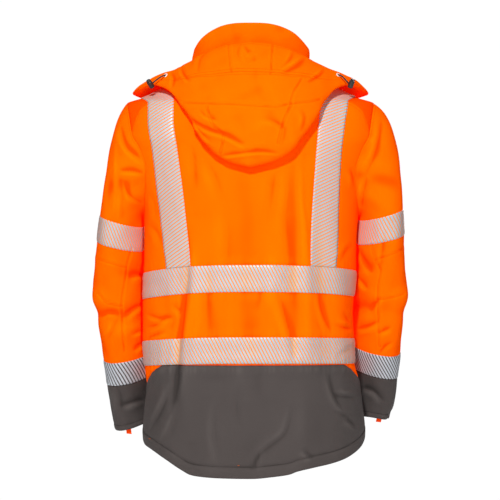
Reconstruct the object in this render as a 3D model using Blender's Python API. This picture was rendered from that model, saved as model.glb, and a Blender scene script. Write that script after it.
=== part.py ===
"""Hi-vis work jacket with a hanging hood, worn and hollow.

The wearer faces -Y and +Z is up. The origin is the middle of the neck opening, level
with the collar seam at the back. Left is the wearer's left, +X. Tables and sizes are in
millimetres and the finished model is in metres.

The body is a stack of level cuts (TORSO). A point on it is named by its turn round the
body, 0 at the wearer's left, 90 degrees at the back, and by its height. Panels, yokes,
tapes, collar and armholes all take their points from that one skin, so their edges meet.
"""

import math
from typing import NamedTuple

import bmesh
import bpy
from mathutils import Vector

MM = 0.001

# Walls and gaps
SEAM_GAP = 0.3
CLOTH_WALL = 1.6
COLLAR_WALL = 2.6
HOOD_WALL = 1.5
TAPE_LIFT = 0.3
TAPE_WALL = 0.9

# Neck opening
NECK_HALF_WIDTH = 108.0
NECK_SIDE_Z = -8.0
NECK_BACK_RISE = 8.0
NECK_FRONT_DROP = 67.0
NECK_CORNER_TURN = 45.0

# Collar, its top edge
COLLAR_HALF_LEFT = 110.0
COLLAR_HALF_RIGHT = 115.0
COLLAR_BACK_Y = 82.0
COLLAR_FRONT_Y = -108.0
COLLAR_SIDE_Z = 38.0
COLLAR_BACK_Z = 83.0
COLLAR_FRONT_Z = -4.0
COLLAR_BELLY = 4.0
COLLAR_ROWS = 4

# Grid counts
NECK_STEPS = 4
YOKE_STEPS = 8
ARMHOLE_STEP = 15.0
TIP_TURN = 60.0
CAP_RINGS = 5
HEM_ROWS = 5

# Yoke seams bow away from the shoulder ridge
YOKE_BACK_BOW = 18.0
YOKE_FRONT_BOW = 8.0

# Patches are cut from the corner that lies least far this way
SPLIT_WAY = Vector((0.37, 0.21, 1.0))

# Zip down the centre front
ZIP_HALF_WIDTH = 4.85
ZIP_EDGE = 5.0
ZIP_WALL = 2.4
ZIP_PROUD = 0.5
ZIP_TOP_DROP = 3.0

# Zip slider: a clip over the top of the chain, with a loop for the pull
SLIDER_HALF_WIDTH = 4.4
SLIDER_PLATE = 1.6
SLIDER_LENGTH = 13.0
SLIDER_LOOP_HALF_WIDTH = 1.4
SLIDER_LOOP_HALF_LENGTH = 3.0
SLIDER_LOOP_WALL = 1.1
SLIDER_LOOP_REACH = 4.2

# Zip pull, hanging from its crossbar
PULL_HALF_WIDTH = 4.0
PULL_WINDOW_HALF_WIDTH = 2.1
PULL_BAR = 1.6
PULL_WINDOW_DROP = 4.6
PULL_LENGTH = 32.0
PULL_TIP_HALF_WIDTH = 3.0
PULL_THICKNESS = 1.6

# Cord locks and hood cord
LOCK_RADIUS = 5.2
LOCK_LENGTH = 15.0
LOCK_BUTTON_RADIUS = 4.2
LOCK_BUTTON_LENGTH = 3.4
LOCK_SIDES = 14
CORD_RADIUS = 1.4
CORD_POINTS = 11
CORD_BOW = 0.9

# Sleeves
RIGHT_SLEEVE_LIFT = 13.0
SLEEVE_SQUARE = 2.2
SLEEVE_CLEAR = 4.5
FRONT_REACH = 0.95

# Hood
HOOD_COLUMNS = 14
HOOD_INNER_ROWS = 4
HOOD_OUTER_ROWS = 8
HOOD_BRIM_ROWS = 2
HOOD_SEAT = 0.35
HOOD_LIFT = 3.6


class Section(NamedTuple):
    """Level cut through the body: a superellipse with its own half width each side."""

    z: float
    left: float
    right: float
    back: float
    front: float
    square: float


TORSO = (
    Section(0, 100, 100, 66, 58, 2.0),
    Section(-8, 108.2, 108.2, 73, 63, 2.0),
    Section(-36, 162, 162, 90, 80, 2.0),
    Section(-58, 206, 207, 101, 92, 2.2),
    Section(-70, 239, 241, 106, 98, 2.4),
    Section(-90, 242, 244, 113, 107, 2.6),
    Section(-135, 245, 247, 127, 123, 2.6),
    Section(-165, 236, 239, 134, 131, 2.4),
    Section(-200, 225, 228, 139, 138, 2.3),
    Section(-245, 213, 217, 144, 144, 2.3),
    Section(-287, 205, 210, 147, 147, 2.35),
    Section(-340, 204.5, 206, 149, 149, 2.4),
    Section(-400, 205.6, 205.4, 151, 150, 2.4),
    Section(-472, 207.5, 199, 152, 151, 2.4),
    Section(-525, 207.5, 201.6, 153, 151, 2.4),
    Section(-575, 204, 203, 153, 152, 2.4),
    Section(-612, 200, 213, 154, 152, 2.4),
    Section(-660, 205, 219, 156, 153, 2.4),
    Section(-700, 208, 223, 158, 154, 2.4),
    Section(-740, 206, 221, 160, 155, 2.4),
    Section(-790, 206, 220, 162, 155, 2.4),
)


class Ring(NamedTuple):
    """Line round the body: its height at each side, the centre back and the centre front.

    The powers say how soon the line leaves each side's height, small for soon.
    """

    left: float
    right: float
    back: float
    front: float
    power: float
    power_right: float


ARMPIT = Ring(-287, -287, -287, -287, 1.5, 1.5)
CHEST_RINGS = (
    Ring(-320, -318, -315, -318, 1.5, 1.5),
    Ring(-358, -354, -347, -353, 1.5, 1.5),
)
UPPER_TAPE = (Ring(-399, -394, -382, -392, 1.5, 1.5), Ring(-449, -443, -433, -442, 1.5, 1.5))
WAIST_RING = Ring(-489, -484, -476, -483, 1.5, 1.5)
LOWER_TAPE = (Ring(-530, -524, -519.4, -524, 1.5, 1.5), Ring(-577, -572, -569.5, -574, 1.5, 1.5))
GREY_SEAM = Ring(-612, -603, -572.5, -596, 0.3, 0.3)
HEM = Ring(-716, -712, -788, -724, 1.2, 1.25)


class BraceLine(NamedTuple):
    """Distance from the centre to a brace tape's two edges, each side, at one height."""

    z: float
    outer_left: float
    inner_left: float
    outer_right: float
    inner_right: float


BRACES = (
    BraceLine(-46, 196, 146, 189, 139),
    BraceLine(-104, 196, 146, 183, 132),
    BraceLine(-160, 188, 139, 176, 127),
    BraceLine(-219, 181, 131, 172, 122.5),
    BraceLine(-336, 167, 118, 166.5, 116),
    BraceLine(-390, 160, 113, 163, 115),
    BraceLine(-450, 158, 112, 162, 114),
    BraceLine(-570, 155, 110, 158, 111),
    BraceLine(-790, 150, 105, 152, 107),
)


class ArmholePoint(NamedTuple):
    """Armhole edge: turn from the shoulder point, height, reach to the back."""

    turn: float
    z: float
    reach: float


ARMHOLE = (
    ArmholePoint(0, -70, 0),
    ArmholePoint(15, -73, 19),
    ArmholePoint(30, -84, 36),
    ArmholePoint(45, -104, 50),
    ArmholePoint(60, -129, 63),
    ArmholePoint(75, -158, 75),
    ArmholePoint(90, -188, 76),
    ArmholePoint(105, -216, 69),
    ArmholePoint(120, -241, 59),
    ArmholePoint(135, -261, 47),
    ArmholePoint(150, -276, 32),
    ArmholePoint(165, -284, 16),
    ArmholePoint(180, -287, 0),
)


class Cut(NamedTuple):
    """Cut across a sleeve.

    outer_left and outer_right are the outermost x of each sleeve, skew slides the back
    outwards and the front inwards, rise_out and rise_front tilt the cut.
    """

    z: float
    outer_left: float
    outer_right: float
    half_width: float
    half_depth: float
    y: float
    skew: float
    rise_out: float
    rise_front: float


SLEEVE_CAP_CUT = Cut(-296, 289, 295, 43, 82, -8, 0.25, 13, 4)
SLEEVE_UPPER_TAPE = (SLEEVE_CAP_CUT, Cut(-343, 295, 297, 46, 79, -16, 0.25, 12, 6))
SLEEVE_ELBOW = (
    Cut(-382, 299, 298, 49, 76, -25, 0.25, 8, 9),
    Cut(-418, 302, 301, 51, 73, -35, 0.25, 5, 12),
    Cut(-446, 302, 303, 52, 72, -42, 0.25, 2, 14),
    Cut(-474, 298, 301, 50.5, 70, -50, 0.25, 0, 15),
    Cut(-508, 292, 297, 50.5, 69, -61, 0.25, -4, 17),
)
SLEEVE_LOWER_TAPE = (
    Cut(-553, 284, 292, 48.5, 66, -77, 0.25, -7, 19),
    Cut(-597, 279, 288, 46, 62, -93, 0.25, -8, 19),
)
CUFF_CUTS = (
    Cut(-640, 274, 285, 43, 58.5, -108, 0.25, -7, 17),
    Cut(-693, 264, 275, 40, 55, -126, 0.25, -6, 14),
)


class Fold(NamedTuple):
    """Soft ridge (rise above 0) or trough (below 0) from a top point to an end point."""

    face: int
    x_top: float
    z_top: float
    x_end: float
    z_end: float
    width: float
    rise: float


BODY_FOLDS = (
    Fold(1, 120, -300, 152, -720, 15, -6.0),
    Fold(1, 93, -290, 118, -720, 24, 4.5),
    Fold(1, 174, -410, 140, -545, 14, -3.5),
    Fold(1, -80, -150, -88, -560, 15, -3.5),
    Fold(1, -104, -170, -108, -600, 14, 3.0),
    Fold(1, -132, -190, -140, -640, 17, -3.5),
    Fold(1, -168, -300, -176, -700, 16, 3.5),
    Fold(1, 52, -210, 40, -560, 22, 2.5),
    Fold(1, 10, -220, -8, -600, 26, -2.5),
    Fold(1, -48, -230, -40, -640, 22, 3.0),
    Fold(1, 6, -640, -14, -800, 20, -4.0),
    Fold(1, 70, -600, 74, -800, 24, 3.5),
    Fold(1, -92, -600, -100, -800, 24, 3.5),
    Fold(-1, 60, -140, 74, -700, 24, 3.5),
    Fold(-1, 108, -200, 96, -600, 18, -3.0),
    Fold(-1, 150, -260, 138, -720, 20, 3.5),
    Fold(-1, -58, -160, -70, -700, 24, 3.5),
    Fold(-1, -104, -220, -98, -620, 18, -3.0),
    Fold(-1, -150, -280, -142, -720, 20, 3.5),
)


class Crease(NamedTuple):
    """Soft dent or ridge across a sleeve: side, height, turn and their spreads."""

    side: int
    z: float
    turn: float
    z_spread: float
    turn_spread: float
    rise: float


SLEEVE_CREASES = (
    Crease(1, -398, 150, 16, 55, -5),
    Crease(1, -446, 20, 18, 60, 3),
    Crease(1, -474, 30, 15, 90, -4),
    Crease(1, -508, 120, 16, 60, 4),
    Crease(1, -230, 80, 22, 30, -4),
    Crease(-1, -382, 150, 16, 55, -5),
    Crease(-1, -446, 30, 18, 60, 3),
    Crease(-1, -461, 150, 16, 50, -5),
    Crease(-1, -474, 10, 14, 60, -3),
    Crease(-1, -220, 80, 22, 30, -4),
)


class HoodStation(NamedTuple):
    """Hood cut from neck seam to fold to rim, at one turn of the neck seam.

    Where the hood is a pouch its fold lies on the back, at fold_x (left) or fold_right;
    over the shoulder the fold row is only the middle of the wing. The rim has its own x
    each side, and belly is how far the outer layer stands off.
    """

    turn: float
    fold_x: float
    fold_right: float
    fold_y: float
    fold_z: float
    rim_x: float
    rim_right: float
    rim_y: float
    rim_z: float
    belly: float


HOOD = (
    HoodStation(90, 0, 0, 142, -196, 0, 0, 100, 46, 62),
    HoodStation(77, 34, 36, 141, -187, 33, 37, 99, 43, 62),
    HoodStation(64, 64, 70, 139, -171, 64, 69, 95, 35, 60),
    HoodStation(51, 94, 101, 130, -135, 92, 98, 88, 23, 52),
    HoodStation(38, 114, 124, 118, -102, 117, 125, 78, 9, 42),
    HoodStation(25, 132, 139, 98, -72, 143, 153, 66, -4, 30),
    HoodStation(12, 156, 159, 76, -46, 172, 181, 54, -13, 18),
    HoodStation(0, 180, 182, 46, -34, 201, 208, 32, -27, 10),
    HoodStation(-14, 188, 188, 2, -36, 229, 231, -6, -49, 7),
    HoodStation(-33, 150, 150, -54, -46, 190, 190, -62, -60, 5),
    HoodStation(-52, 100, 100, -94, -60, 122, 122, -106, -74, 4),
)


class ToggleSpot(NamedTuple):
    """Where a cord lock hangs, the way its barrel points and where its cord leaves.

    eyelet counts the hood's columns from the centre back.
    """

    side: int
    x: float
    y: float
    z: float
    way_x: float
    way_y: float
    way_z: float
    eyelet: float


TOGGLES = (
    ToggleSpot(1, 191, 69, -35, 0.45, 0.55, 0.7, 7.2),
    ToggleSpot(-1, -194, 75, -35, -0.33, 0.2, 0.92, 7.1),
)


class Finish(NamedTuple):
    """Plain finish of a piece: colour, roughness, metallic."""

    colour: tuple
    roughness: float
    metallic: float


ORANGE = Finish((1.0, 0.17, 0.0), 0.75, 0.0)
DEEP_ORANGE = Finish((1.0, 0.10, 0.0), 0.75, 0.0)
GREY = Finish((0.085, 0.072, 0.066), 0.8, 0.0)
SILVER = Finish((0.68, 0.7, 0.74), 0.45, 0.0)
DARK_PLASTIC = Finish((0.02, 0.014, 0.012), 0.4, 0.0)
DARK_CORD = Finish((0.03, 0.02, 0.02), 0.85, 0.0)


# ---------------------------------------------------------------- smooth tables


class Curve:
    """Smooth curve through (key, value) pairs that never overshoots between them."""

    def __init__(self, pairs):
        ordered = sorted(pairs)
        self.keys = [key for key, _ in ordered]
        self.values = [value for _, value in ordered]
        self.slopes = self._slopes()

    def _slopes(self):
        spans = list(zip(self.keys, self.keys[1:]))
        lifts = list(zip(self.values, self.values[1:]))
        grades = [(hi - lo) / (b - a) for (a, b), (lo, hi) in zip(spans, lifts)]
        slopes = [grades[0]]
        for before, after in zip(grades, grades[1:]):
            if before * after <= 0:
                slopes.append(0.0)
            else:
                slopes.append(2 * before * after / (before + after))
        slopes.append(grades[-1])
        return slopes

    def __call__(self, key):
        if key <= self.keys[0]:
            return self.values[0]
        if key >= self.keys[-1]:
            return self.values[-1]
        i = 0
        while self.keys[i + 1] < key:
            i += 1
        span = self.keys[i + 1] - self.keys[i]
        t = (key - self.keys[i]) / span
        return (
            self.values[i] * (1 + 2 * t) * (1 - t) ** 2
            + self.slopes[i] * span * t * (1 - t) ** 2
            + self.values[i + 1] * t * t * (3 - 2 * t)
            + self.slopes[i + 1] * span * t * t * (t - 1)
        )


def curves(table, key):
    """One Curve for each column of a table, read along its key column."""
    names = [name for name in table[0]._fields if name != key]
    return {
        name: Curve([(getattr(row, key), getattr(row, name)) for row in table])
        for name in names
    }


TORSO_AT = curves(TORSO, "z")
BRACE_AT = curves(BRACES, "z")
ARMHOLE_AT = curves(ARMHOLE, "turn")
HOOD_AT = curves(HOOD, "turn")


def mix(a, b, t):
    """Value a fraction t of the way from a to b."""
    return a + (b - a) * t


def steps(first, last, count):
    """Evenly spaced values from first to last, count intervals."""
    return [mix(first, last, i / count) for i in range(count + 1)]


def signed_power(value, power):
    """Power of a value's size, with its sign kept."""
    return math.copysign(abs(value) ** power, value)


# ---------------------------------------------------------------- the body's skin


def section_sizes(z, to_left, to_back):
    """Half width, half depth and squareness of the level cut at z."""
    half_width = TORSO_AT["left" if to_left else "right"](z)
    half_depth = TORSO_AT["back" if to_back else "front"](z)
    return half_width, half_depth, TORSO_AT["square"](z)


def shell(angle, z):
    """Point on the unfolded body at a turn (radians) and a height."""
    across = math.cos(angle)
    along = math.sin(angle)
    half_width, half_depth, square = section_sizes(z, across >= 0, along >= 0)
    return Vector((
        half_width * signed_power(across, 2 / square),
        half_depth * signed_power(along, 2 / square),
        z,
    ))


def shell_normal(angle, z):
    """Outward direction of the unfolded body."""
    across = shell(angle + 0.02, z) - shell(angle - 0.02, z)
    up = shell(angle, z + 1.5) - shell(angle, z - 1.5)
    return across.cross(up).normalized()


def fold_rise(point, angle):
    """Height of the body's folds over the unfolded body, none at the side seams."""
    face = 1 if math.sin(angle) >= 0 else -1
    fade = min(1.0, abs(math.sin(angle)) * 2.2)
    total = 0.0
    for fold in BODY_FOLDS:
        if fold.face != face:
            continue
        t = (fold.z_top - point.z) / (fold.z_top - fold.z_end)
        if not 0 < t < 1:
            continue
        centre = mix(fold.x_top, fold.x_end, t)
        shape = math.exp(-(((point.x - centre) / fold.width) ** 2))
        total += fold.rise * shape * math.sin(math.pi * t) ** 0.7
    return total * fade


def skin(angle, z):
    """Point on the folded body."""
    point = shell(angle, z)
    return point + shell_normal(angle, z) * fold_rise(point, angle)


def skin_normal(angle, z):
    """Outward direction of the folded body."""
    across = skin(angle + 0.03, z) - skin(angle - 0.03, z)
    up = skin(angle, z + 3) - skin(angle, z - 3)
    return across.cross(up).normalized()


def turn_of(x, y, z):
    """Turn of the body point that lies over x and y in the cut at z."""
    half_width, half_depth, square = section_sizes(z, x >= 0, y >= 0)
    return math.atan2(
        signed_power(y / half_depth, square / 2),
        signed_power(x / half_width, square / 2),
    )


def place_at_x(x, z, face):
    """Turn and height of the back (face 1) or front (face -1) point at x and z."""
    half_width, _, square = section_sizes(z, x >= 0, face > 0)
    reach = min(1.0, abs(x) / half_width) ** (square / 2)
    return face * math.acos(math.copysign(reach, x)), z


def level_of(x, y):
    """Height of the shoulder slope over x and y."""
    low = -140.0
    high = 0.0
    for _ in range(40):
        z = (low + high) / 2
        half_width, half_depth, square = section_sizes(z, x >= 0, y >= 0)
        inside = abs(x / half_width) ** square + abs(y / half_depth) ** square < 1
        if inside:
            low = z
        else:
            high = z
    return (low + high) / 2


def side_width(y, z, side):
    """Half width of the body at depth y in the cut at z, 0 beyond its depth."""
    half_width, half_depth, square = section_sizes(z, side > 0, y >= 0)
    left_over = 1 - abs(y / half_depth) ** square
    return half_width * max(0.0, left_over) ** (1 / square)


def ring_height(ring, angle):
    """Height of a line round the body at a turn."""
    to_left = math.cos(angle) >= 0
    side = ring.left if to_left else ring.right
    middle = ring.back if math.sin(angle) >= 0 else ring.front
    power = ring.power if to_left else ring.power_right
    return mix(side, middle, abs(math.sin(angle)) ** power)


def armhole_place(turn, side):
    """Turn and height on the body of an armhole point; turn is above 0 at the back."""
    z = ARMHOLE_AT["z"](abs(turn))
    reach = ARMHOLE_AT["reach"](abs(turn))
    y = reach if turn >= 0 else -reach * FRONT_REACH
    x = side * side_width(y, z, side)
    return turn_of(x, y, z), z


def neck_place(turn):
    """Turn and height on the body of a neck seam point, turn in degrees."""
    swing = math.radians(turn)
    x = NECK_HALF_WIDTH * math.cos(swing)
    lift = math.sin(swing) ** 2
    to_back = math.sin(swing) >= 0
    z = NECK_SIDE_Z + (NECK_BACK_RISE if to_back else -NECK_FRONT_DROP) * lift
    return place_at_x(x, z, 1 if to_back else -1)


def near_turn(angle, other):
    """The same turn as angle, written within half a circle of other."""
    while angle - other > math.pi:
        angle -= 2 * math.pi
    while angle - other < -math.pi:
        angle += 2 * math.pi
    return angle


# ---------------------------------------------------------------- panels on the skin


def yoke_seam(face, side):
    """Plan points of a yoke's seam with the back or front, neck corner to armhole."""
    corner = 180 - NECK_CORNER_TURN if side < 0 else NECK_CORNER_TURN
    start = skin_plan(*neck_place(face * corner))
    end = skin_plan(*armhole_place(face * TIP_TURN, side))
    bow = YOKE_BACK_BOW if face > 0 else YOKE_FRONT_BOW
    sides = "left" if side > 0 else "right"
    brace_z = level_of(side * 170, face * 60)
    inner = side * BRACE_AT["inner_" + sides](brace_z)
    outer = side * BRACE_AT["outer_" + sides](brace_z)
    inner_t = (inner - start.x) / (end.x - start.x)
    outer_t = (outer - start.x) / (end.x - start.x)
    fractions = steps(0, inner_t, 2) + steps(inner_t, outer_t, 2)[1:]
    fractions += steps(outer_t, 1, 4)[1:]
    seam = []
    for t in fractions:
        point = start.lerp(end, t)
        point.y += face * bow * math.sin(math.pi * t)
        seam.append(point)
    return seam


def skin_plan(angle, z):
    """Unfolded body point at a place, as a plan point."""
    point = shell(angle, z)
    return Vector((point.x, point.y))


def plan_place(point):
    """Turn and height of the shoulder point over a plan point."""
    z = level_of(point.x, point.y)
    return turn_of(point.x, point.y, z), z


def knot_row(knots):
    """Places along a half row from its knots: centre, neck, brace edges and edge."""
    counts = (NECK_STEPS, 2, 2, 4)
    row = [knots[0]]
    for (a, z_a), (b, z_b), count in zip(knots, knots[1:], counts):
        b = near_turn(b, a)
        for i in range(1, count + 1):
            row.append((mix(a, b, i / count), mix(z_a, z_b, i / count)))
    return row


def lower_row(ring, side, face, centre_x):
    """Half row of places on a line below the armpit, centre to side seam."""
    sides = "left" if side > 0 else "right"
    middle = ring.back if face > 0 else ring.front
    knots = [place_at_x(side * centre_x, middle, face)]
    inner = BRACE_AT["inner_" + sides](middle)
    for x in (inner * 0.6, inner, BRACE_AT["outer_" + sides](middle)):
        z = middle
        for _ in range(3):
            angle, _ = place_at_x(side * x, z, face)
            z = ring_height(ring, angle)
        knots.append((angle, z))
    edge = 0.0 if side > 0 else face * math.pi
    knots.append((edge, ring_height(ring, edge)))
    row = knot_row(knots)
    return [(angle, ring_height(ring, angle)) for angle, _ in row]


def upper_rows(side, face, centre_x):
    """Half rows of places from the armpit to the yoke seam and the neck."""
    sides = "left" if side > 0 else "right"
    base = lower_row(ARMPIT, side, face, centre_x)
    seam = [plan_place(point) for point in yoke_seam(face, side)]
    corner = 180 - NECK_CORNER_TURN if side < 0 else NECK_CORNER_TURN
    neck = [neck_place(face * turn) for turn in steps(90, corner, NECK_STEPS)]
    if centre_x:
        neck[0] = place_at_x(side * centre_x, neck[0][1], face)
    top = neck + seam[1:]
    top_z = [z for _, z in top]
    count = round((180 - TIP_TURN) / ARMHOLE_STEP)
    rows = [base]
    for k in range(1, count):
        t = k / count
        edge = armhole_place(face * (180 - ARMHOLE_STEP * k), side)
        levels = [mix(base[c][1], top_z[c], t) for c in range(len(base))]
        knots = [place_at_x(side * centre_x, levels[0], face)]
        corner_x = mix(shell(*base[NECK_STEPS]).x, shell(*top[NECK_STEPS]).x, t)
        knots.append(place_at_x(corner_x, levels[NECK_STEPS], face))
        for name, column in (("inner_", NECK_STEPS + 2), ("outer_", NECK_STEPS + 4)):
            x = side * BRACE_AT[name + sides](levels[column])
            knots.append(place_at_x(x, levels[column], face))
        knots.append(edge)
        row = knot_row(knots)
        for c in range(NECK_STEPS + 1):
            row[c] = (row[c][0], levels[c])
        rows.append(row)
    rows.append(top)
    return rows


def half_panel(side, face, centre_x):
    """Half rows of the orange panel, top first, down to the grey seam."""
    rings = CHEST_RINGS + UPPER_TAPE + (WAIST_RING,) + LOWER_TAPE + (GREY_SEAM,)
    rows = upper_rows(side, face, centre_x)[::-1]
    return rows + [lower_row(ring, side, face, centre_x) for ring in rings]


def half_hem(side, face, centre_x):
    """Half rows of the grey panel, from the grey seam to the hem."""
    rows = []
    for t in steps(0, 1, HEM_ROWS):
        ring = Ring(*(mix(a, b, t) for a, b in zip(GREY_SEAM, HEM)))
        rows.append(lower_row(ring, side, face, centre_x))
    return rows


def joined_halves(left, right):
    """Full rows from the left edge to the right edge."""
    return [a[::-1] + b[1:] for a, b in zip(left, right)]


def yoke_rows(side):
    """Places of a yoke, rows from its back seam to its front seam."""
    back = yoke_seam(1, side)
    front = yoke_seam(-1, side)
    corner = 180 - NECK_CORNER_TURN if side < 0 else NECK_CORNER_TURN
    middle = 180 if side < 0 else 0
    necks = steps(corner, middle, YOKE_STEPS // 2)
    neck_turns = necks + [2 * middle - turn for turn in necks[-2::-1]]
    arm_turns = steps(TIP_TURN, -TIP_TURN, YOKE_STEPS)
    rows = []
    for i, (neck_turn, arm_turn) in enumerate(zip(neck_turns, arm_turns)):
        t = i / YOKE_STEPS
        inner_place = neck_place(neck_turn)
        outer_place = armhole_place(arm_turn, side)
        inner = skin_plan(*inner_place)
        outer = skin_plan(*outer_place)
        row = [inner_place]
        for j in range(1, len(back) - 1):
            s_back = (back[j].x - back[0].x) / (back[-1].x - back[0].x)
            s_front = (front[j].x - front[0].x) / (front[-1].x - front[0].x)
            s = mix(s_back, s_front, t)
            across = inner.lerp(outer, s)
            along = back[j].lerp(front[j], t)
            first = back[0].lerp(back[-1], s)
            last = front[0].lerp(front[-1], s)
            row.append(plan_place(across + along - first.lerp(last, t)))
        row.append(outer_place)
        rows.append(row)
    return rows


# ---------------------------------------------------------------- walls


def skinned(rows):
    """Points and outward directions of rows of places."""
    points = [[skin(angle, z) for angle, z in row] for row in rows]
    normals = [[skin_normal(angle, z) for angle, z in row] for row in rows]
    return points, normals


def edge_loops(rows, columns, closed):
    """Grid indices along each free edge of a wall, each loop in walking order."""
    top = [(0, c) for c in range(columns)]
    bottom = [(rows - 1, c) for c in range(columns)]
    if closed:
        return [top, bottom]
    right = [(r, columns - 1) for r in range(1, rows - 1)]
    left = [(r, 0) for r in range(1, rows - 1)]
    return [top + right + bottom[::-1] + left[::-1]]


def trimmed(points, normals, closed, stand_back):
    """Rows of points whose free edges stand back, square to the edge."""
    out = [[point.copy() for point in row] for row in points]
    rows = len(points)
    columns = len(points[0])
    for loop in edge_loops(rows, columns, closed):
        moves = []
        vote = 0.0
        for i, (r, c) in enumerate(loop):
            before_r, before_c = loop[i - 1]
            after_r, after_c = loop[(i + 1) % len(loop)]
            here = points[r][c]
            first = normals[r][c].cross(here - points[before_r][before_c]).normalized()
            second = normals[r][c].cross(points[after_r][after_c] - here).normalized()
            spread = max(0.3, 1 + first.dot(second))
            move = (first + second) / spread * stand_back
            inner_r = min(max(r, 1), rows - 2) if rows > 2 else rows - 1 - r
            inner_c = c if closed else min(max(c, 1), columns - 2)
            inner_c = c if columns <= 2 else inner_c
            vote += move.dot(points[inner_r][inner_c] - here)
            moves.append(move)
        for (r, c), move in zip(loop, moves):
            out[r][c] += move if vote > 0 else -move
    return out


def splits_forward(corners):
    """Whether a four-cornered patch is cut from its first corner to its third.

    The cut starts at the corner that lies least far along SPLIT_WAY, so pieces that
    share the patch's points, in any order, are cut alike and stay parallel.
    """
    least = min(range(4), key=lambda i: corners[i].dot(SPLIT_WAY))
    return least % 2 == 0


def wall_mesh(name, base, outside, inside, closed):
    """Closed mesh between two layers of rows of points, cut as the base points say."""
    mesh = bmesh.new()
    layers = []
    for layer in (outside, inside):
        layers.append([[mesh.verts.new(p * MM) for p in row] for row in layer])
    rows = len(outside)
    columns = len(outside[0])
    spans = columns if closed else columns - 1

    def quad(a, b, c, d, forward=True):
        if forward:
            mesh.faces.new((a, b, c))
            mesh.faces.new((a, c, d))
        else:
            mesh.faces.new((b, c, d))
            mesh.faces.new((b, d, a))

    for r in range(rows - 1):
        for c in range(spans):
            d = (c + 1) % columns
            forward = splits_forward((base[r][c], base[r + 1][c], base[r + 1][d], base[r][d]))
            for layer in layers:
                corners = (layer[r][c], layer[r + 1][c], layer[r + 1][d], layer[r][d])
                quad(*corners, forward)
    top, bottom = layers
    for c in range(spans):
        d = (c + 1) % columns
        for r in (0, rows - 1):
            quad(top[r][c], bottom[r][c], bottom[r][d], top[r][d])
    if not closed:
        for r in range(rows - 1):
            for c in (0, columns - 1):
                quad(top[r][c], bottom[r][c], bottom[r + 1][c], top[r + 1][c])
    bmesh.ops.recalc_face_normals(mesh, faces=mesh.faces[:])
    data = bpy.data.meshes.new(name)
    mesh.to_mesh(data)
    mesh.free()
    data.shade_smooth()
    data.set_sharp_from_angle(angle=math.radians(40))
    return data


def material(name, finish):
    """Principled material for one piece."""
    made = bpy.data.materials.new(name)
    made.use_nodes = True
    shader = made.node_tree.nodes["Principled BSDF"]
    shader.inputs["Base Color"].default_value = (*finish.colour, 1.0)
    shader.inputs["Roughness"].default_value = finish.roughness
    shader.inputs["Metallic"].default_value = finish.metallic
    return made


def add_object(name, data, finish):
    """Object with its own material, in the scene."""
    data.materials.append(material(name, finish))
    item = bpy.data.objects.new(name, data)
    bpy.context.scene.collection.objects.link(item)
    return item


def wall(name, finish, points, normals, outer, inner, closed=False):
    """Wall piece: the points moved out by outer and by inner along their normals."""
    edged = trimmed(points, normals, closed, SEAM_GAP * (0.8 if closed else 0.5))
    layers = []
    for shift in (outer, inner):
        layers.append([
            [p + n * shift for p, n in zip(row, way)] for row, way in zip(edged, normals)
        ])
    return add_object(name, wall_mesh(name, points, layers[0], layers[1], closed), finish)


def cloth(name, finish, rows):
    """Panel of shell cloth on the body's skin."""
    points, normals = skinned(rows)
    return wall(name, finish, points, normals, 0.0, -CLOTH_WALL)


def tape(name, points, normals, closed=False):
    """Reflective tape on a panel's own points, moved out."""
    return wall(name, SILVER, points, normals, TAPE_LIFT + TAPE_WALL, TAPE_LIFT, closed)


# ---------------------------------------------------------------- body pieces


def make_body():
    """Back, fronts, grey lower panels and yokes."""
    back = joined_halves(half_panel(1, 1, 0.0), half_panel(-1, 1, 0.0))
    cloth("back", ORANGE, back)
    hem = joined_halves(half_hem(1, 1, 0.0), half_hem(-1, 1, 0.0))
    cloth("back_lower", GREY, hem)
    for side, sides in ((1, "left"), (-1, "right")):
        cloth("front_" + sides, ORANGE, half_panel(side, -1, ZIP_EDGE))
        cloth("front_lower_" + sides, GREY, half_hem(side, -1, ZIP_EDGE))
        cloth("yoke_" + sides, DEEP_ORANGE, yoke_rows(side))


def make_body_tapes():
    """Two tapes round the body, from zip edge to zip edge."""
    for name, pair in (("upper", UPPER_TAPE), ("lower", LOWER_TAPE)):
        rows = []
        for ring in pair:
            front_left = lower_row(ring, 1, -1, ZIP_EDGE)
            back_left = lower_row(ring, 1, 1, 0.0)
            back_right = lower_row(ring, -1, 1, 0.0)
            front_right = lower_row(ring, -1, -1, ZIP_EDGE)
            row = front_left + back_left[-2::-1] + back_right[1:]
            rows.append(row + front_right[-2::-1])
        tape("body_tape_" + name, *skinned(rows))


def make_braces():
    """Tapes up the front, over the shoulder and down the back to the upper body tape."""
    first = NECK_STEPS + 2
    last = NECK_STEPS + 4
    body_rows = round((180 - TIP_TURN) / ARMHOLE_STEP) + len(CHEST_RINGS) + 2
    for side, sides in ((1, "left"), (-1, "right")):
        back = half_panel(side, 1, 0.0)[:body_rows]
        front = half_panel(side, -1, ZIP_EDGE)[:body_rows]
        yoke = [row[2:5] for row in yoke_rows(side)]
        rows = [row[first:last + 1] for row in back[::-1]]
        rows += yoke[1:]
        rows += [row[first:last + 1] for row in front[1:]]
        tape("brace_" + sides, *skinned(rows))


# ---------------------------------------------------------------- collar and zip


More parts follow.
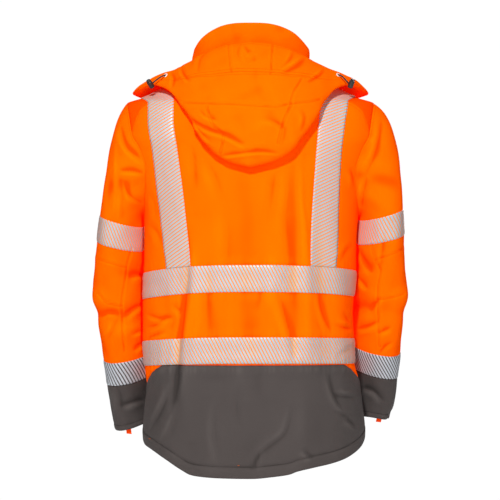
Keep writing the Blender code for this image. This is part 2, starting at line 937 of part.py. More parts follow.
def collar_grid():
    """Points and outward directions of the collar, rows from seam to top edge."""
    half = steps(90, NECK_CORNER_TURN, NECK_STEPS)
    half += steps(NECK_CORNER_TURN, -NECK_CORNER_TURN, YOKE_STEPS)[1:]
    half += steps(-NECK_CORNER_TURN, -90, NECK_STEPS)[1:]
    left = half[::-1]
    right = [180 - turn for turn in half[1:]]
    turns = left + right
    seam_places = [neck_place(turn) for turn in turns]
    seam_places[0] = place_at_x(ZIP_EDGE, seam_places[0][1], -1)
    seam_places[-1] = place_at_x(-ZIP_EDGE, seam_places[-1][1], -1)
    rows = [[] for _ in range(COLLAR_ROWS + 1)]
    for turn, place in zip(turns, seam_places):
        base = skin(*place)
        top = collar_top(turn)
        if abs(top.x) < ZIP_EDGE and turn != 90:
            top.x = math.copysign(ZIP_EDGE, base.x)
        outward = Vector((top.x, top.y, 0)).normalized()
        for r in range(COLLAR_ROWS + 1):
            t = r / COLLAR_ROWS
            point = base.lerp(top, t) + outward * COLLAR_BELLY * math.sin(math.pi * t)
            if abs(base.x) <= ZIP_EDGE + 0.01 and turn != 90:
                point.x = base.x
            rows[r].append(point)
    normals = grid_normals(rows, closed=False)
    normals[0] = [skin_normal(*place) for place in seam_places]
    return rows, normals


def collar_top(turn):
    """Point of the collar's top edge at a turn of the neck seam."""
    swing = math.radians(turn)
    across = math.cos(swing)
    along = math.sin(swing)
    half = COLLAR_HALF_LEFT if across >= 0 else COLLAR_HALF_RIGHT
    reach = COLLAR_BACK_Y if along >= 0 else -COLLAR_FRONT_Y
    if along >= 0:
        z = mix(COLLAR_BACK_Z, COLLAR_SIDE_Z, abs(across) ** 3)
    else:
        z = mix(COLLAR_SIDE_Z, COLLAR_FRONT_Z, abs(along) ** 1.5)
    return Vector((half * across, reach * along, z))


def grid_normals(rows, closed):
    """Outward directions of a grid whose columns run left round the back to the right."""
    count = len(rows)
    columns = len(rows[0])
    normals = []
    for r in range(count):
        line = []
        for c in range(columns):
            if closed:
                across = rows[r][(c + 1) % columns] - rows[r][c - 1]
            else:
                across = rows[r][min(c + 1, columns - 1)] - rows[r][max(c - 1, 0)]
            up = rows[min(r + 1, count - 1)][c] - rows[max(r - 1, 0)][c]
            line.append(across.cross(up).normalized())
        normals.append(line)
    return normals


def make_collar():
    """Standing collar, open at the zip."""
    points, normals = collar_grid()
    wall("collar", ORANGE, points, normals, 0.0, -COLLAR_WALL)
    return points


def zip_line():
    """Centre front points from the hem to the collar's top."""
    rows = half_panel(1, -1, 0.0) + half_hem(1, -1, 0.0)[1:]
    body = [skin(*row[0]) for row in rows][::-1]
    collar, _ = collar_grid()
    front = [Vector((0, row[0].y, row[0].z)) for row in collar]
    return body[:-1] + front


def make_zip():
    """Zip chain, one strip between the front panels and up the collar."""
    line = zip_line()
    along = (line[-2] - line[-1]).normalized()
    line[-1] = line[-1] + along * ZIP_TOP_DROP
    rows = []
    normals = []
    for i, point in enumerate(line):
        along = line[min(i + 1, len(line) - 1)] - line[max(i - 1, 0)]
        normal = Vector((1, 0, 0)).cross(along).normalized()
        rows.append([point + Vector((x, 0, 0)) for x in (-ZIP_HALF_WIDTH, ZIP_HALF_WIDTH)])
        normals.append([normal, normal])
    layers = []
    for shift in (ZIP_PROUD, ZIP_PROUD - ZIP_WALL):
        layers.append([
            [p + n * shift for p, n in zip(row, way)] for row, way in zip(rows, normals)
        ])
    data = wall_mesh("zip_chain", rows, layers[0], layers[1], False)
    add_object("zip_chain", data, DARK_PLASTIC)
    return line[-1], normals[-1][0]


def extruded(outline, half_width):
    """Closed mesh of a (depth, height) outline drawn out to both sides along X."""
    mesh = bmesh.new()
    sides = []
    for x in (-half_width, half_width):
        sides.append([mesh.verts.new(Vector((x, y, z)) * MM) for y, z in outline])
    mesh.faces.new(sides[0])
    mesh.faces.new(sides[1][::-1])
    for i in range(len(outline)):
        mesh.faces.new((sides[0][i - 1], sides[0][i], sides[1][i], sides[1][i - 1]))
    bmesh.ops.recalc_face_normals(mesh, faces=mesh.faces[:])
    return mesh


def mesh_data(name, mesh):
    """Blender mesh from a bmesh, which is freed."""
    data = bpy.data.meshes.new(name)
    mesh.to_mesh(data)
    mesh.free()
    return data


def make_slider(top, normal):
    """Zip slider clipped over the chain's top end; returns the pull's hinge point.

    Its outline is drawn square to the chain there: depth is -Y outwards, height is up
    the chain, both from the chain's end.
    """
    up = Vector((1, 0, 0)).cross(-normal).normalized()
    if up.z < 0:
        up.negate()
    front = ZIP_PROUD + SEAM_GAP
    back = ZIP_PROUD - ZIP_WALL - SEAM_GAP
    low = -SLIDER_LENGTH + SLIDER_PLATE
    high = SEAM_GAP
    plate = SLIDER_PLATE
    clip = (
        (front, low), (front, high), (back, high), (back, low),
        (back - plate, low), (back - plate, high + plate),
        (front + plate, high + plate), (front + plate, low),
    )
    face = front + plate
    middle = low / 2
    half = SLIDER_LOOP_HALF_LENGTH
    loop_wall = SLIDER_LOOP_WALL
    tip = face + SLIDER_LOOP_REACH
    loop = (
        (face - 0.5, middle - half), (tip, middle - half), (tip, middle + half),
        (face - 0.5, middle + half), (face - 0.5, middle + half - loop_wall),
        (tip - loop_wall, middle + half - loop_wall),
        (tip - loop_wall, middle - half + loop_wall),
        (face - 0.5, middle - half + loop_wall),
    )

    def placed(outline):
        points = []
        for depth, height in outline:
            point = top + normal * depth + up * height
            points.append((point.y, point.z))
        return points

    body = extruded(placed(clip), SLIDER_HALF_WIDTH)
    slider = add_object("zip_slider", mesh_data("zip_slider", body), DARK_PLASTIC)
    ring = extruded(placed(loop), SLIDER_LOOP_HALF_WIDTH)
    tool = bpy.data.objects.new("slider_loop", mesh_data("slider_loop", ring))
    bpy.context.scene.collection.objects.link(tool)
    tool.hide_render = True
    tool.display_type = "WIRE"
    union = slider.modifiers.new("loop", "BOOLEAN")
    union.operation = "UNION"
    union.solver = "EXACT"
    union.object = tool
    hinge_depth = face + (SLIDER_LOOP_REACH - loop_wall) / 2
    return top + normal * hinge_depth + up * middle


def make_pull(hinge):
    """Zip pull with its origin on the crossbar, hanging straight down."""
    bar = PULL_BAR / 2
    half = PULL_THICKNESS / 2
    wide = PULL_HALF_WIDTH
    slot = PULL_WINDOW_HALF_WIDTH
    tip = PULL_TIP_HALF_WIDTH
    outer = (
        (-wide, bar), (wide, bar), (wide, -bar), (wide, -bar - PULL_WINDOW_DROP),
        (tip, 2 - PULL_LENGTH), (tip - 1.2, bar - PULL_LENGTH),
        (1.2 - tip, bar - PULL_LENGTH), (-tip, 2 - PULL_LENGTH),
        (-wide, -bar - PULL_WINDOW_DROP), (-wide, -bar),
    )
    inner = (
        (-slot, -bar), (slot, -bar), (slot, -bar - PULL_WINDOW_DROP),
        (-slot, -bar - PULL_WINDOW_DROP),
    )
    mesh = bmesh.new()
    rims = {}
    for y in (-half, half):
        for name, outline in (("outer", outer), ("inner", inner)):
            rims[name, y] = [mesh.verts.new(Vector((x, y, z)) * MM) for x, z in outline]
    for y in (-half, half):
        o = rims["outer", y]
        i = rims["inner", y]
        mesh.faces.new((o[0], o[1], o[2], i[1], i[0], o[9]))
        mesh.faces.new((o[2], o[3], i[2], i[1]))
        mesh.faces.new((o[9], i[0], i[3], o[8]))
        mesh.faces.new((o[8], i[3], i[2], o[3], o[4], o[5], o[6], o[7]))
    for name in ("outer", "inner"):
        near = rims[name, -half]
        far = rims[name, half]
        for k in range(len(near)):
            mesh.faces.new((near[k - 1], near[k], far[k], far[k - 1]))
    bmesh.ops.recalc_face_normals(mesh, faces=mesh.faces[:])
    pull = add_object("zip_pull", mesh_data("zip_pull", mesh), DARK_PLASTIC)
    pull.location = hinge * MM


# ---------------------------------------------------------------- sleeves


def cut_point(cut, turn, side):
    """Point of a sleeve cut; turn 0 is outermost, 90 at the back."""
    swing = math.radians(turn)
    across = signed_power(math.cos(swing), 2 / SLEEVE_SQUARE)
    along = signed_power(math.sin(swing), 2 / SLEEVE_SQUARE)
    slide = cut.skew * cut.half_depth
    outer = cut.outer_left if side > 0 else cut.outer_right
    centre = outer - math.hypot(cut.half_width, slide)
    lift = 0.0 if side > 0 else RIGHT_SLEEVE_LIFT
    x = centre + cut.half_width * across + slide * along
    y = cut.y + cut.half_depth * along
    z = cut.z + lift + cut.rise_out * across - cut.rise_front * along
    return Vector((side * x, y, z))


def clear_of_body(point, side):
    """Point moved out sideways until it clears the body's side."""
    below = ARMPIT.left - point.z
    if below <= 0:
        return point
    clear = min(SLEEVE_CLEAR, 0.6 + 0.25 * below)
    reach = max(abs(point.x), side_width(point.y, point.z, side) + clear)
    return Vector((side * reach, point.y, point.z))


def sleeve_grid(side):
    """Rings of points and outward directions of one sleeve, armhole to cuff hem."""
    turns = [ARMHOLE_STEP * i for i in range(round(360 / ARMHOLE_STEP))]
    cuts = SLEEVE_UPPER_TAPE + SLEEVE_ELBOW + SLEEVE_LOWER_TAPE + CUFF_CUTS
    places = []
    for turn in turns:
        places.append(armhole_place(turn if turn <= 180 else turn - 360, side))
    start = [skin(*place) for place in places]
    start_normals = [skin_normal(*place) for place in places]
    lower = [[clear_of_body(cut_point(cut, turn, side), side) for turn in turns] for cut in cuts]
    rings = [start]
    for k in range(1, CAP_RINGS + 1):
        t = k / (CAP_RINGS + 1)
        ring = []
        for i, turn in enumerate(turns):
            ring.append(cap_point(start[i], lower[0][i], lower[1][i], turn, side, t))
        rings.append([clear_of_body(point, side) for point in ring])
    rings += lower
    rings = creased(rings, turns, side)
    normals = [[way * -side for way in row] for row in grid_normals(rings, closed=True)]
    normals[0] = start_normals
    return rings, normals


def cap_point(start, end, beyond, turn, side, t):
    """Point of the sleeve head, on a smooth line from the armhole to the first cut."""
    swing = math.radians(turn)
    height = (1 + math.cos(swing)) / 2
    out = mix(14, 95 if side > 0 else 140, height ** 0.6)
    down = mix(0, 120 if side > 0 else 85, height)
    leave = Vector((side * out, 22 * math.sin(swing), -down))
    arrive = (beyond - end).normalized() * (end - start).length * 1.1
    a = (1 + 2 * t) * (1 - t) ** 2
    b = t * (1 - t) ** 2
    c = t * t * (3 - 2 * t)
    d = t * t * (t - 1)
    return start * a + leave * b + end * c + arrive * d


def creased(rings, turns, side):
    """Rings with the sleeve's creases pressed in, the armhole left alone."""
    out = [[point.copy() for point in ring] for ring in rings]
    for r in range(1, len(rings)):
        middle = sum(rings[r], Vector()) / len(turns)
        for i, turn in enumerate(turns):
            rise = 0.0
            for crease in SLEEVE_CREASES:
                if crease.side != side:
                    continue
                off = (turn - crease.turn + 180) % 360 - 180
                up = (rings[r][i].z - crease.z) / crease.z_spread
                rise += crease.rise * math.exp(-up * up - (off / crease.turn_spread) ** 2)
            away = rings[r][i] - middle
            away.z = 0
            out[r][i] += away.normalized() * rise
    return out


def make_sleeves():
    """Sleeves, grey cuffs and the tapes round them."""
    upper_at = CAP_RINGS + 1
    lower_at = upper_at + len(SLEEVE_UPPER_TAPE) + len(SLEEVE_ELBOW)
    cuff_at = lower_at + len(SLEEVE_LOWER_TAPE)
    for side, sides in ((1, "left"), (-1, "right")):
        points, normals = sleeve_grid(side)

        def piece(name, finish, first, last):
            rows = slice(first, last + 1)
            wall(name + sides, finish, points[rows], normals[rows], 0, -CLOTH_WALL, True)

        piece("sleeve_", ORANGE, 0, cuff_at - 1)
        piece("cuff_", GREY, cuff_at - 1, len(points) - 1)
        for name, at in (("upper", upper_at), ("lower", lower_at)):
            rows = slice(at, at + 2)
            tape(f"sleeve_tape_{name}_{sides}", points[rows], normals[rows], closed=True)


# ---------------------------------------------------------------- hood


def gap_to_body(point):
    """Signed distance, near the body, from its unfolded skin."""

    def field(p):
        z = min(p.z, 0.0)
        half_width, half_depth, square = section_sizes(z, p.x >= 0, p.y >= 0)
        total = abs(p.x / half_width) ** square + abs(p.y / half_depth) ** square
        return total ** (1 / square) - 1

    here = field(point)
    slope = Vector((
        field(point + Vector((1, 0, 0))) - here,
        field(point + Vector((0, 1, 0))) - here,
        here - field(point - Vector((0, 0, 1))),
    ))
    return here / slope.length, slope.normalized()


def lifted(point, gap):
    """Point moved out until it is at least gap from the body."""
    for _ in range(6):
        distance, way = gap_to_body(point)
        if distance >= gap - 0.01:
            break
        point = point + way * (gap - distance)
    return point


def hood_column(turn, side):
    """Points of one hood cut from the neck seam to the fold and up to the rim."""
    value = {name: curve(turn) for name, curve in HOOD_AT.items()}
    neck_turn = turn if side > 0 else 180 - turn
    place = neck_place(neck_turn)
    seam = skin(*place)
    outward = Vector((seam.x, seam.y, 0)).normalized()
    seam = lifted(seam + outward * 3.0, HOOD_SEAT + 0.2)
    fold_x = value["fold_x"] if side > 0 else value["fold_right"]
    fold = Vector((side * fold_x, value["fold_y"], value["fold_z"]))
    fold = lifted(fold, HOOD_LIFT + 1.0)
    rim_x = value["rim_x"] if side > 0 else value["rim_right"]
    rim = Vector((side * rim_x, value["rim_y"], value["rim_z"]))
    column = [seam]
    for i in range(1, HOOD_INNER_ROWS + 1):
        point = seam.lerp(fold, i / HOOD_INNER_ROWS)
        column.append(lifted(point, HOOD_LIFT))
    belly = Vector((side * 0.25 * value["belly"], value["belly"], 0))
    leave = fold + belly * 0.95 + Vector((0, 0, -0.2 * value["belly"]))
    arrive = rim + belly * 1.1 + Vector((0, 0, -0.9 * value["belly"]))
    for i in range(1, HOOD_OUTER_ROWS + 1):
        t = i / HOOD_OUTER_ROWS
        point = fold * (1 - t) ** 3 + leave * 3 * t * (1 - t) ** 2
        point += arrive * 3 * t * t * (1 - t) + rim * t ** 3
        column.append(lifted(point, HOOD_LIFT + 1.0))
    return column


def hood_grid():
    """Points and outward directions of the hood, rows from the neck seam to the rim."""
    last = HOOD[-1].turn
    half = steps(90, last, HOOD_COLUMNS)
    columns = [hood_column(turn, 1) for turn in half[::-1]]
    columns += [hood_column(turn, -1) for turn in half[1:]]
    rows = [list(row) for row in zip(*columns)]
    return rows, grid_normals(rows, closed=False)


def make_hood():
    """Hanging hood and its brim band."""
    points, normals = hood_grid()
    split = len(points) - 1 - HOOD_BRIM_ROWS
    wall("hood", ORANGE, points[:split + 1], normals[:split + 1], 0, -HOOD_WALL)
    wall("hood_brim", ORANGE, points[split:], normals[split:], 0, -HOOD_WALL)


def toggle_sizes(spot):
    """Centre and barrel direction of a cord lock."""
    centre = Vector((spot.x, spot.y, spot.z))
    way = Vector((spot.way_x, spot.way_y, spot.way_z)).normalized()
    return centre, way


def make_cord_lock(spot):
    """Cord lock: a barrel with a press button at its upper end."""
    centre, way = toggle_sizes(spot)
    half = LOCK_LENGTH / 2
    profile = (
        (0, -half), (LOCK_RADIUS - 1, -half), (LOCK_RADIUS, 1 - half),
        (LOCK_RADIUS, half - 0.8), (LOCK_RADIUS - 0.8, half),
        (LOCK_BUTTON_RADIUS - 0.4, half), (LOCK_BUTTON_RADIUS, half + 0.5),
        (LOCK_BUTTON_RADIUS, half + LOCK_BUTTON_LENGTH - 0.7),
        (LOCK_BUTTON_RADIUS - 0.7, half + LOCK_BUTTON_LENGTH),
        (0, half + LOCK_BUTTON_LENGTH),
    )
    mesh = bmesh.new()
    line = [mesh.verts.new(Vector((r, 0, z)) * MM) for r, z in profile]
    edges = [mesh.edges.new(pair) for pair in zip(line, line[1:])]
    bmesh.ops.spin(
        mesh, geom=line + edges, cent=(0, 0, 0), axis=(0, 0, 1),
        angle=math.tau, steps=LOCK_SIDES, use_merge=True,
    )
    bmesh.ops.remove_doubles(mesh, verts=mesh.verts[:], dist=0.00002)
    bmesh.ops.recalc_face_normals(mesh, faces=mesh.faces[:])
    name = "cord_lock_left" if spot.side > 0 else "cord_lock_right"
    data = mesh_data(name, mesh)
    data.shade_smooth()
    data.set_sharp_from_angle(angle=math.radians(40))
    lock = add_object(name, data, DARK_PLASTIC)
    lock.location = centre * MM
    lock.rotation_mode = "QUATERNION"
    lock.rotation_quaternion = way.to_track_quat("Z", "X")


def make_hood_cord(spot):
    """Short run of elastic cord from the brim's eyelet to the side of its lock."""
    turns = steps(90, HOOD[-1].turn, HOOD_COLUMNS)
    near = math.floor(spot.eyelet)
    behind = hood_column(turns[near], spot.side)
    before = hood_column(turns[near + 1], spot.side)
    start = behind[-2].lerp(before[-2], spot.eyelet - near)
    outward = (before[-2] - behind[-2]).cross(behind[-1] - behind[-3]).normalized()
    if outward.y < 0:
        outward.negate()
    start = start + outward * SEAM_GAP
    centre, way = toggle_sizes(spot)
    to_eyelet = start - centre
    to_eyelet = (to_eyelet - way * to_eyelet.dot(way)).normalized()
    end = centre + to_eyelet * (LOCK_RADIUS + 2 * SEAM_GAP)
    reach = (end - start).length
    first = start + outward * reach * CORD_BOW
    last = end + to_eyelet * reach * 0.3
    name = "hood_cord_left" if spot.side > 0 else "hood_cord_right"
    curve = bpy.data.curves.new(name, "CURVE")
    curve.dimensions = "3D"
    curve.bevel_depth = CORD_RADIUS * MM
    curve.bevel_resolution = 2
    curve.use_fill_caps = True
    spline = curve.splines.new("POLY")
    spline.points.add(CORD_POINTS - 1)
    for i, t in enumerate(steps(0, 1, CORD_POINTS - 1)):
        point = start * (1 - t) ** 3 + first * 3 * t * (1 - t) ** 2
        point += last * 3 * t * t * (1 - t) + end * t ** 3
        spline.points[i].co = (*(point * MM), 1.0)
    add_object(name, curve, DARK_CORD)


def clear_scene():
    """Remove what the scene holds."""
    for item in list(bpy.data.objects):
        bpy.data.objects.remove(item, do_unlink=True)


def main():
    """Model the jacket."""
    clear_scene()
    make_body()
    make_body_tapes()
    make_braces()
    make_collar()
    top, normal = make_zip()
    make_pull(make_slider(top, normal))
    make_sleeves()
    make_hood()
    for spot in TOGGLES:
        make_cord_lock(spot)
        make_hood_cord(spot)


main()
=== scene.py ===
"""Dress of a hooded hi-vis work jacket: cloth, tapes, seams, zip and toggles.

The wearer faces -Y and +Z is up. Tables and sizes are in millimetres; meshes are in
metres. A place on the body is its turn round it (0 at the wearer's left, a quarter turn
at the back) and its height, and every panel, tape and thread takes its points from one
skin, so their edges meet.
"""

import logging
import math
from dataclasses import dataclass
from enum import Enum
from typing import NamedTuple, Sequence, TypeVar

import bmesh
import bpy
import numpy as np
from mathutils import Matrix, Vector
from mathutils.bvhtree import BVHTree


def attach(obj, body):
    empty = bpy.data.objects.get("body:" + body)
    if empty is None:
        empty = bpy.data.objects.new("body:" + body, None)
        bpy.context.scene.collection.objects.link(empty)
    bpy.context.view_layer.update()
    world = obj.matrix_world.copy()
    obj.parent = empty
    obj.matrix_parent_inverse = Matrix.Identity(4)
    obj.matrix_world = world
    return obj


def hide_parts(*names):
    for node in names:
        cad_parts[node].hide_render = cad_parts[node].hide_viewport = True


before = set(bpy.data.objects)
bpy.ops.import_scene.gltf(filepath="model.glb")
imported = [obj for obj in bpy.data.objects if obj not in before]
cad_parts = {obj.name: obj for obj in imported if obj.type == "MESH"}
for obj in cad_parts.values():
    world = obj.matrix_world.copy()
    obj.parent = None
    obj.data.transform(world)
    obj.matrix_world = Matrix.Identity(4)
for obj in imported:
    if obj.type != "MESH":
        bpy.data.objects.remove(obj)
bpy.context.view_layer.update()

LOG = logging.getLogger("jacket")
MM = 0.001
SPACING = 3.7
BACK_SPACING = 3.3
SLEEVE_SPACING = 3.15
TAPE_SPACING = 3.9
EDGE_ROWS = (0.0, 1.2, 2.8)
EDGE_END = 5.0
SEWN_WIDTH = 3.2
HEM_TURN_UP = 22.0
CUFF_TURN_UP = 12.0
ALLOWANCE = 3.5

Array = np.ndarray
Line = tuple[tuple[float, float], ...]
Colour = tuple[float, float, float]
Point = tuple[float, float, float]
Sockets = Sequence[tuple[str, str]]
Output = bpy.types.NodeSocket
Row = TypeVar("Row")


class Side(Enum):
    """Side of the jacket, named as the wearer names it."""

    LEFT = 1
    RIGHT = -1

    @property
    def word(self) -> str:
        """The side's name as the pieces use it."""
        return self.name.lower()


class Face(Enum):
    """Back or front of the jacket."""

    BACK = 1
    FRONT = -1


def table(kind: type[Row], *rows: tuple[float, ...]) -> tuple[Row, ...]:
    """Rows of a table as named tuples of one kind."""
    return tuple(kind(*row) for row in rows)


# ---------------------------------------------------------------- tables of the body


class Section(NamedTuple):
    """Level cut through the body: a superellipse with its own half width each side."""

    z: float
    left: float
    right: float
    back: float
    front: float
    square: float


TORSO = table(
    Section,
    (0, 100, 100, 66, 58, 2.0), (-8, 108.2, 108.2, 73, 63, 2.0), (-36, 162, 162, 90, 80, 2.0),
    (-58, 206, 207, 101, 92, 2.2), (-70, 239, 241, 106, 98, 2.4), (-90, 242, 244, 113, 107, 2.6),
    (-135, 245, 247, 127, 123, 2.6), (-165, 236, 239, 134, 131, 2.4),
    (-200, 225, 228, 139, 138, 2.3), (-245, 213, 217, 144, 144, 2.3),
    (-287, 205, 210, 147, 147, 2.35), (-340, 204.5, 206, 149, 149, 2.4),
    (-400, 205.6, 205.4, 151, 150, 2.4), (-472, 207.5, 199, 152, 151, 2.4),
    (-525, 207.5, 201.6, 153, 151, 2.4), (-575, 204, 203, 153, 152, 2.4),
    (-612, 200, 213, 154, 152, 2.4), (-660, 205, 219, 156, 153, 2.4),
    (-700, 208, 223, 158, 154, 2.4), (-740, 206, 221, 160, 155, 2.4),
    (-790, 206, 220, 162, 155, 2.4),
)


class Ring(NamedTuple):
    """Line round the body: its height at each side, the centre back and the centre front."""

    left: float
    right: float
    back: float
    front: float
    power: float
    power_right: float
    knee: float = 1.0
    knee_right: float = 1.0


ARMPIT_Z = -287.0
SHOULDER_TURN = 45
ARMPIT = Ring(ARMPIT_Z, ARMPIT_Z, ARMPIT_Z, ARMPIT_Z, 1.5, 1.5)
UPPER_TAPE = (Ring(-399, -394, -382, -392, 1.5, 1.5), Ring(-449, -443, -433, -442, 1.5, 1.5))
LOWER_TAPE = (Ring(-530, -524, -519.4, -524, 1.5, 1.5), Ring(-577, -572, -569.5, -574, 1.5, 1.5))
GREY_SEAM = Ring(-612, -603, -572.5, -596, 1.15, 0.9, 0.62, 0.5)
HEM = Ring(-716, -712, -788, -724, 1.2, 1.25)


class BraceLine(NamedTuple):
    """Distance from the centre to a brace tape's two edges, each side, at one height."""

    z: float
    outer_left: float
    inner_left: float
    outer_right: float
    inner_right: float


BRACES = table(
    BraceLine,
    (-46, 196, 146, 189, 139), (-104, 196, 146, 183, 132), (-160, 188, 139, 176, 127),
    (-219, 181, 131, 172, 122.5), (-336, 167, 118, 166.5, 116), (-390, 160, 113, 163, 115),
    (-450, 158, 112, 162, 114),
)


class ArmholePoint(NamedTuple):
    """Armhole edge: turn from the shoulder point, height, reach to the back."""

    turn: float
    z: float
    reach: float


ARMHOLE = table(
    ArmholePoint,
    (0, -70, 0), (15, -73, 19), (30, -84, 36), (45, -104, 50), (60, -129, 63), (75, -158, 75),
    (90, -188, 76), (105, -216, 69), (120, -241, 59), (135, -261, 47), (150, -276, 32),
    (165, -284, 16), (180, -287, 0),
)


class Cut(NamedTuple):
    """Cut across a sleeve, with the outermost x of each sleeve."""

    z: float
    outer_left: float
    outer_right: float
    half_width: float
    half_depth: float
    y: float
    skew: float
    rise_out: float
    rise_front: float


SLEEVE_CUTS = table(
    Cut,
    (-296, 289, 295, 43, 82, -8, 0.25, 13, 4), (-343, 295, 297, 46, 79, -16, 0.25, 12, 6),
    (-382, 299, 298, 49, 76, -25, 0.25, 8, 9), (-418, 302, 301, 51, 73, -35, 0.25, 5, 12),
    (-446, 302, 303, 52, 72, -42, 0.25, 2, 14), (-474, 298, 301, 50.5, 70, -50, 0.25, 0, 15),
    (-508, 292, 297, 50.5, 69, -61, 0.25, -4, 17), (-553, 284, 292, 48.5, 66, -77, 0.25, -7, 19),
    (-597, 279, 288, 46, 62, -93, 0.25, -8, 19), (-640, 274, 285, 43, 58.5, -108, 0.25, -7, 17),
    (-693, 264, 275, 40, 55, -126, 0.25, -6, 14),
)


class HoodStation(NamedTuple):
    """Hood cut from neck seam to fold to rim, at one turn of the neck seam."""

    turn: float
    fold_x: float
    fold_right: float
    fold_y: float
    fold_z: float
    rim_x: float
    rim_right: float
    rim_y: float
    rim_z: float
    belly: float


HOOD = table(
    HoodStation,
    (90, 0, 0, 151, -196, 0, 0, 100, 46, 52), (77, 34, 36, 150, -187, 33, 37, 99, 43, 52),
    (64, 64, 70, 147, -171, 64, 69, 95, 35, 50), (51, 94, 101, 138, -135, 92, 98, 88, 23, 44),
    (38, 114, 124, 125, -102, 117, 125, 78, 9, 37),
    (25, 132, 139, 103, -72, 143, 153, 66, -4, 28),
    (12, 156, 159, 76, -46, 172, 181, 54, -13, 18), (0, 180, 182, 46, -34, 201, 208, 32, -27, 10),
    (-14, 188, 188, 2, -36, 229, 231, -6, -49, 7),
    (-33, 150, 150, -54, -46, 190, 190, -62, -60, 5),
    (-52, 100, 100, -94, -60, 122, 122, -106, -74, 4),
)


# ---------------------------------------------------------------- folds and creases


class Fold(NamedTuple):
    """Long soft ridge (rise above 0) or trough (below 0) from a top point to an end point.

    face is 1 on the back and -1 on the front.
    """

    face: int
    x_top: float
    z_top: float
    x_end: float
    z_end: float
    width: float
    rise: float


BODY_FOLDS = table(
    Fold,
    (1, 120, -300, 152, -720, 15, -6.0), (1, 93, -290, 118, -720, 24, 4.5),
    (1, 174, -410, 140, -545, 14, -3.5), (1, -80, -150, -88, -560, 15, -2.6),
    (1, -104, -170, -108, -600, 14, 3.0), (1, -132, -190, -140, -640, 17, -3.5),
    (1, -168, -300, -176, -700, 16, 3.5), (1, 52, -210, 40, -560, 22, 2.5),
    (1, 10, -220, -8, -600, 30, -1.8), (1, -48, -230, -40, -640, 22, 3.0),
    (1, 6, -640, -14, -800, 24, -2.2), (1, 70, -600, 74, -800, 28, 3.0),
    (1, -92, -600, -100, -800, 28, 3.0), (-1, 60, -140, 74, -700, 24, 3.5),
    (-1, 108, -200, 96, -600, 18, -3.0), (-1, 150, -260, 138, -720, 20, 3.5),
    (-1, -58, -160, -70, -700, 24, 3.5), (-1, -104, -220, -98, -620, 18, -3.0),
    (-1, -150, -280, -142, -720, 20, 3.5),
)


class Crease(NamedTuple):
    """Crease along a line of (x, z) points, seen square on.

    width is its spread on the line's left hand as it runs, far on its right hand.
    """

    face: Face
    line: Line
    rise: float
    width: float
    far: float


def creases(face: Face, *rows: tuple) -> tuple[Crease, ...]:
    """Creases of one face, from rows of rise, width, far and the points of the line."""
    return tuple(Crease(face, row[3:], *row[:3]) for row in rows)

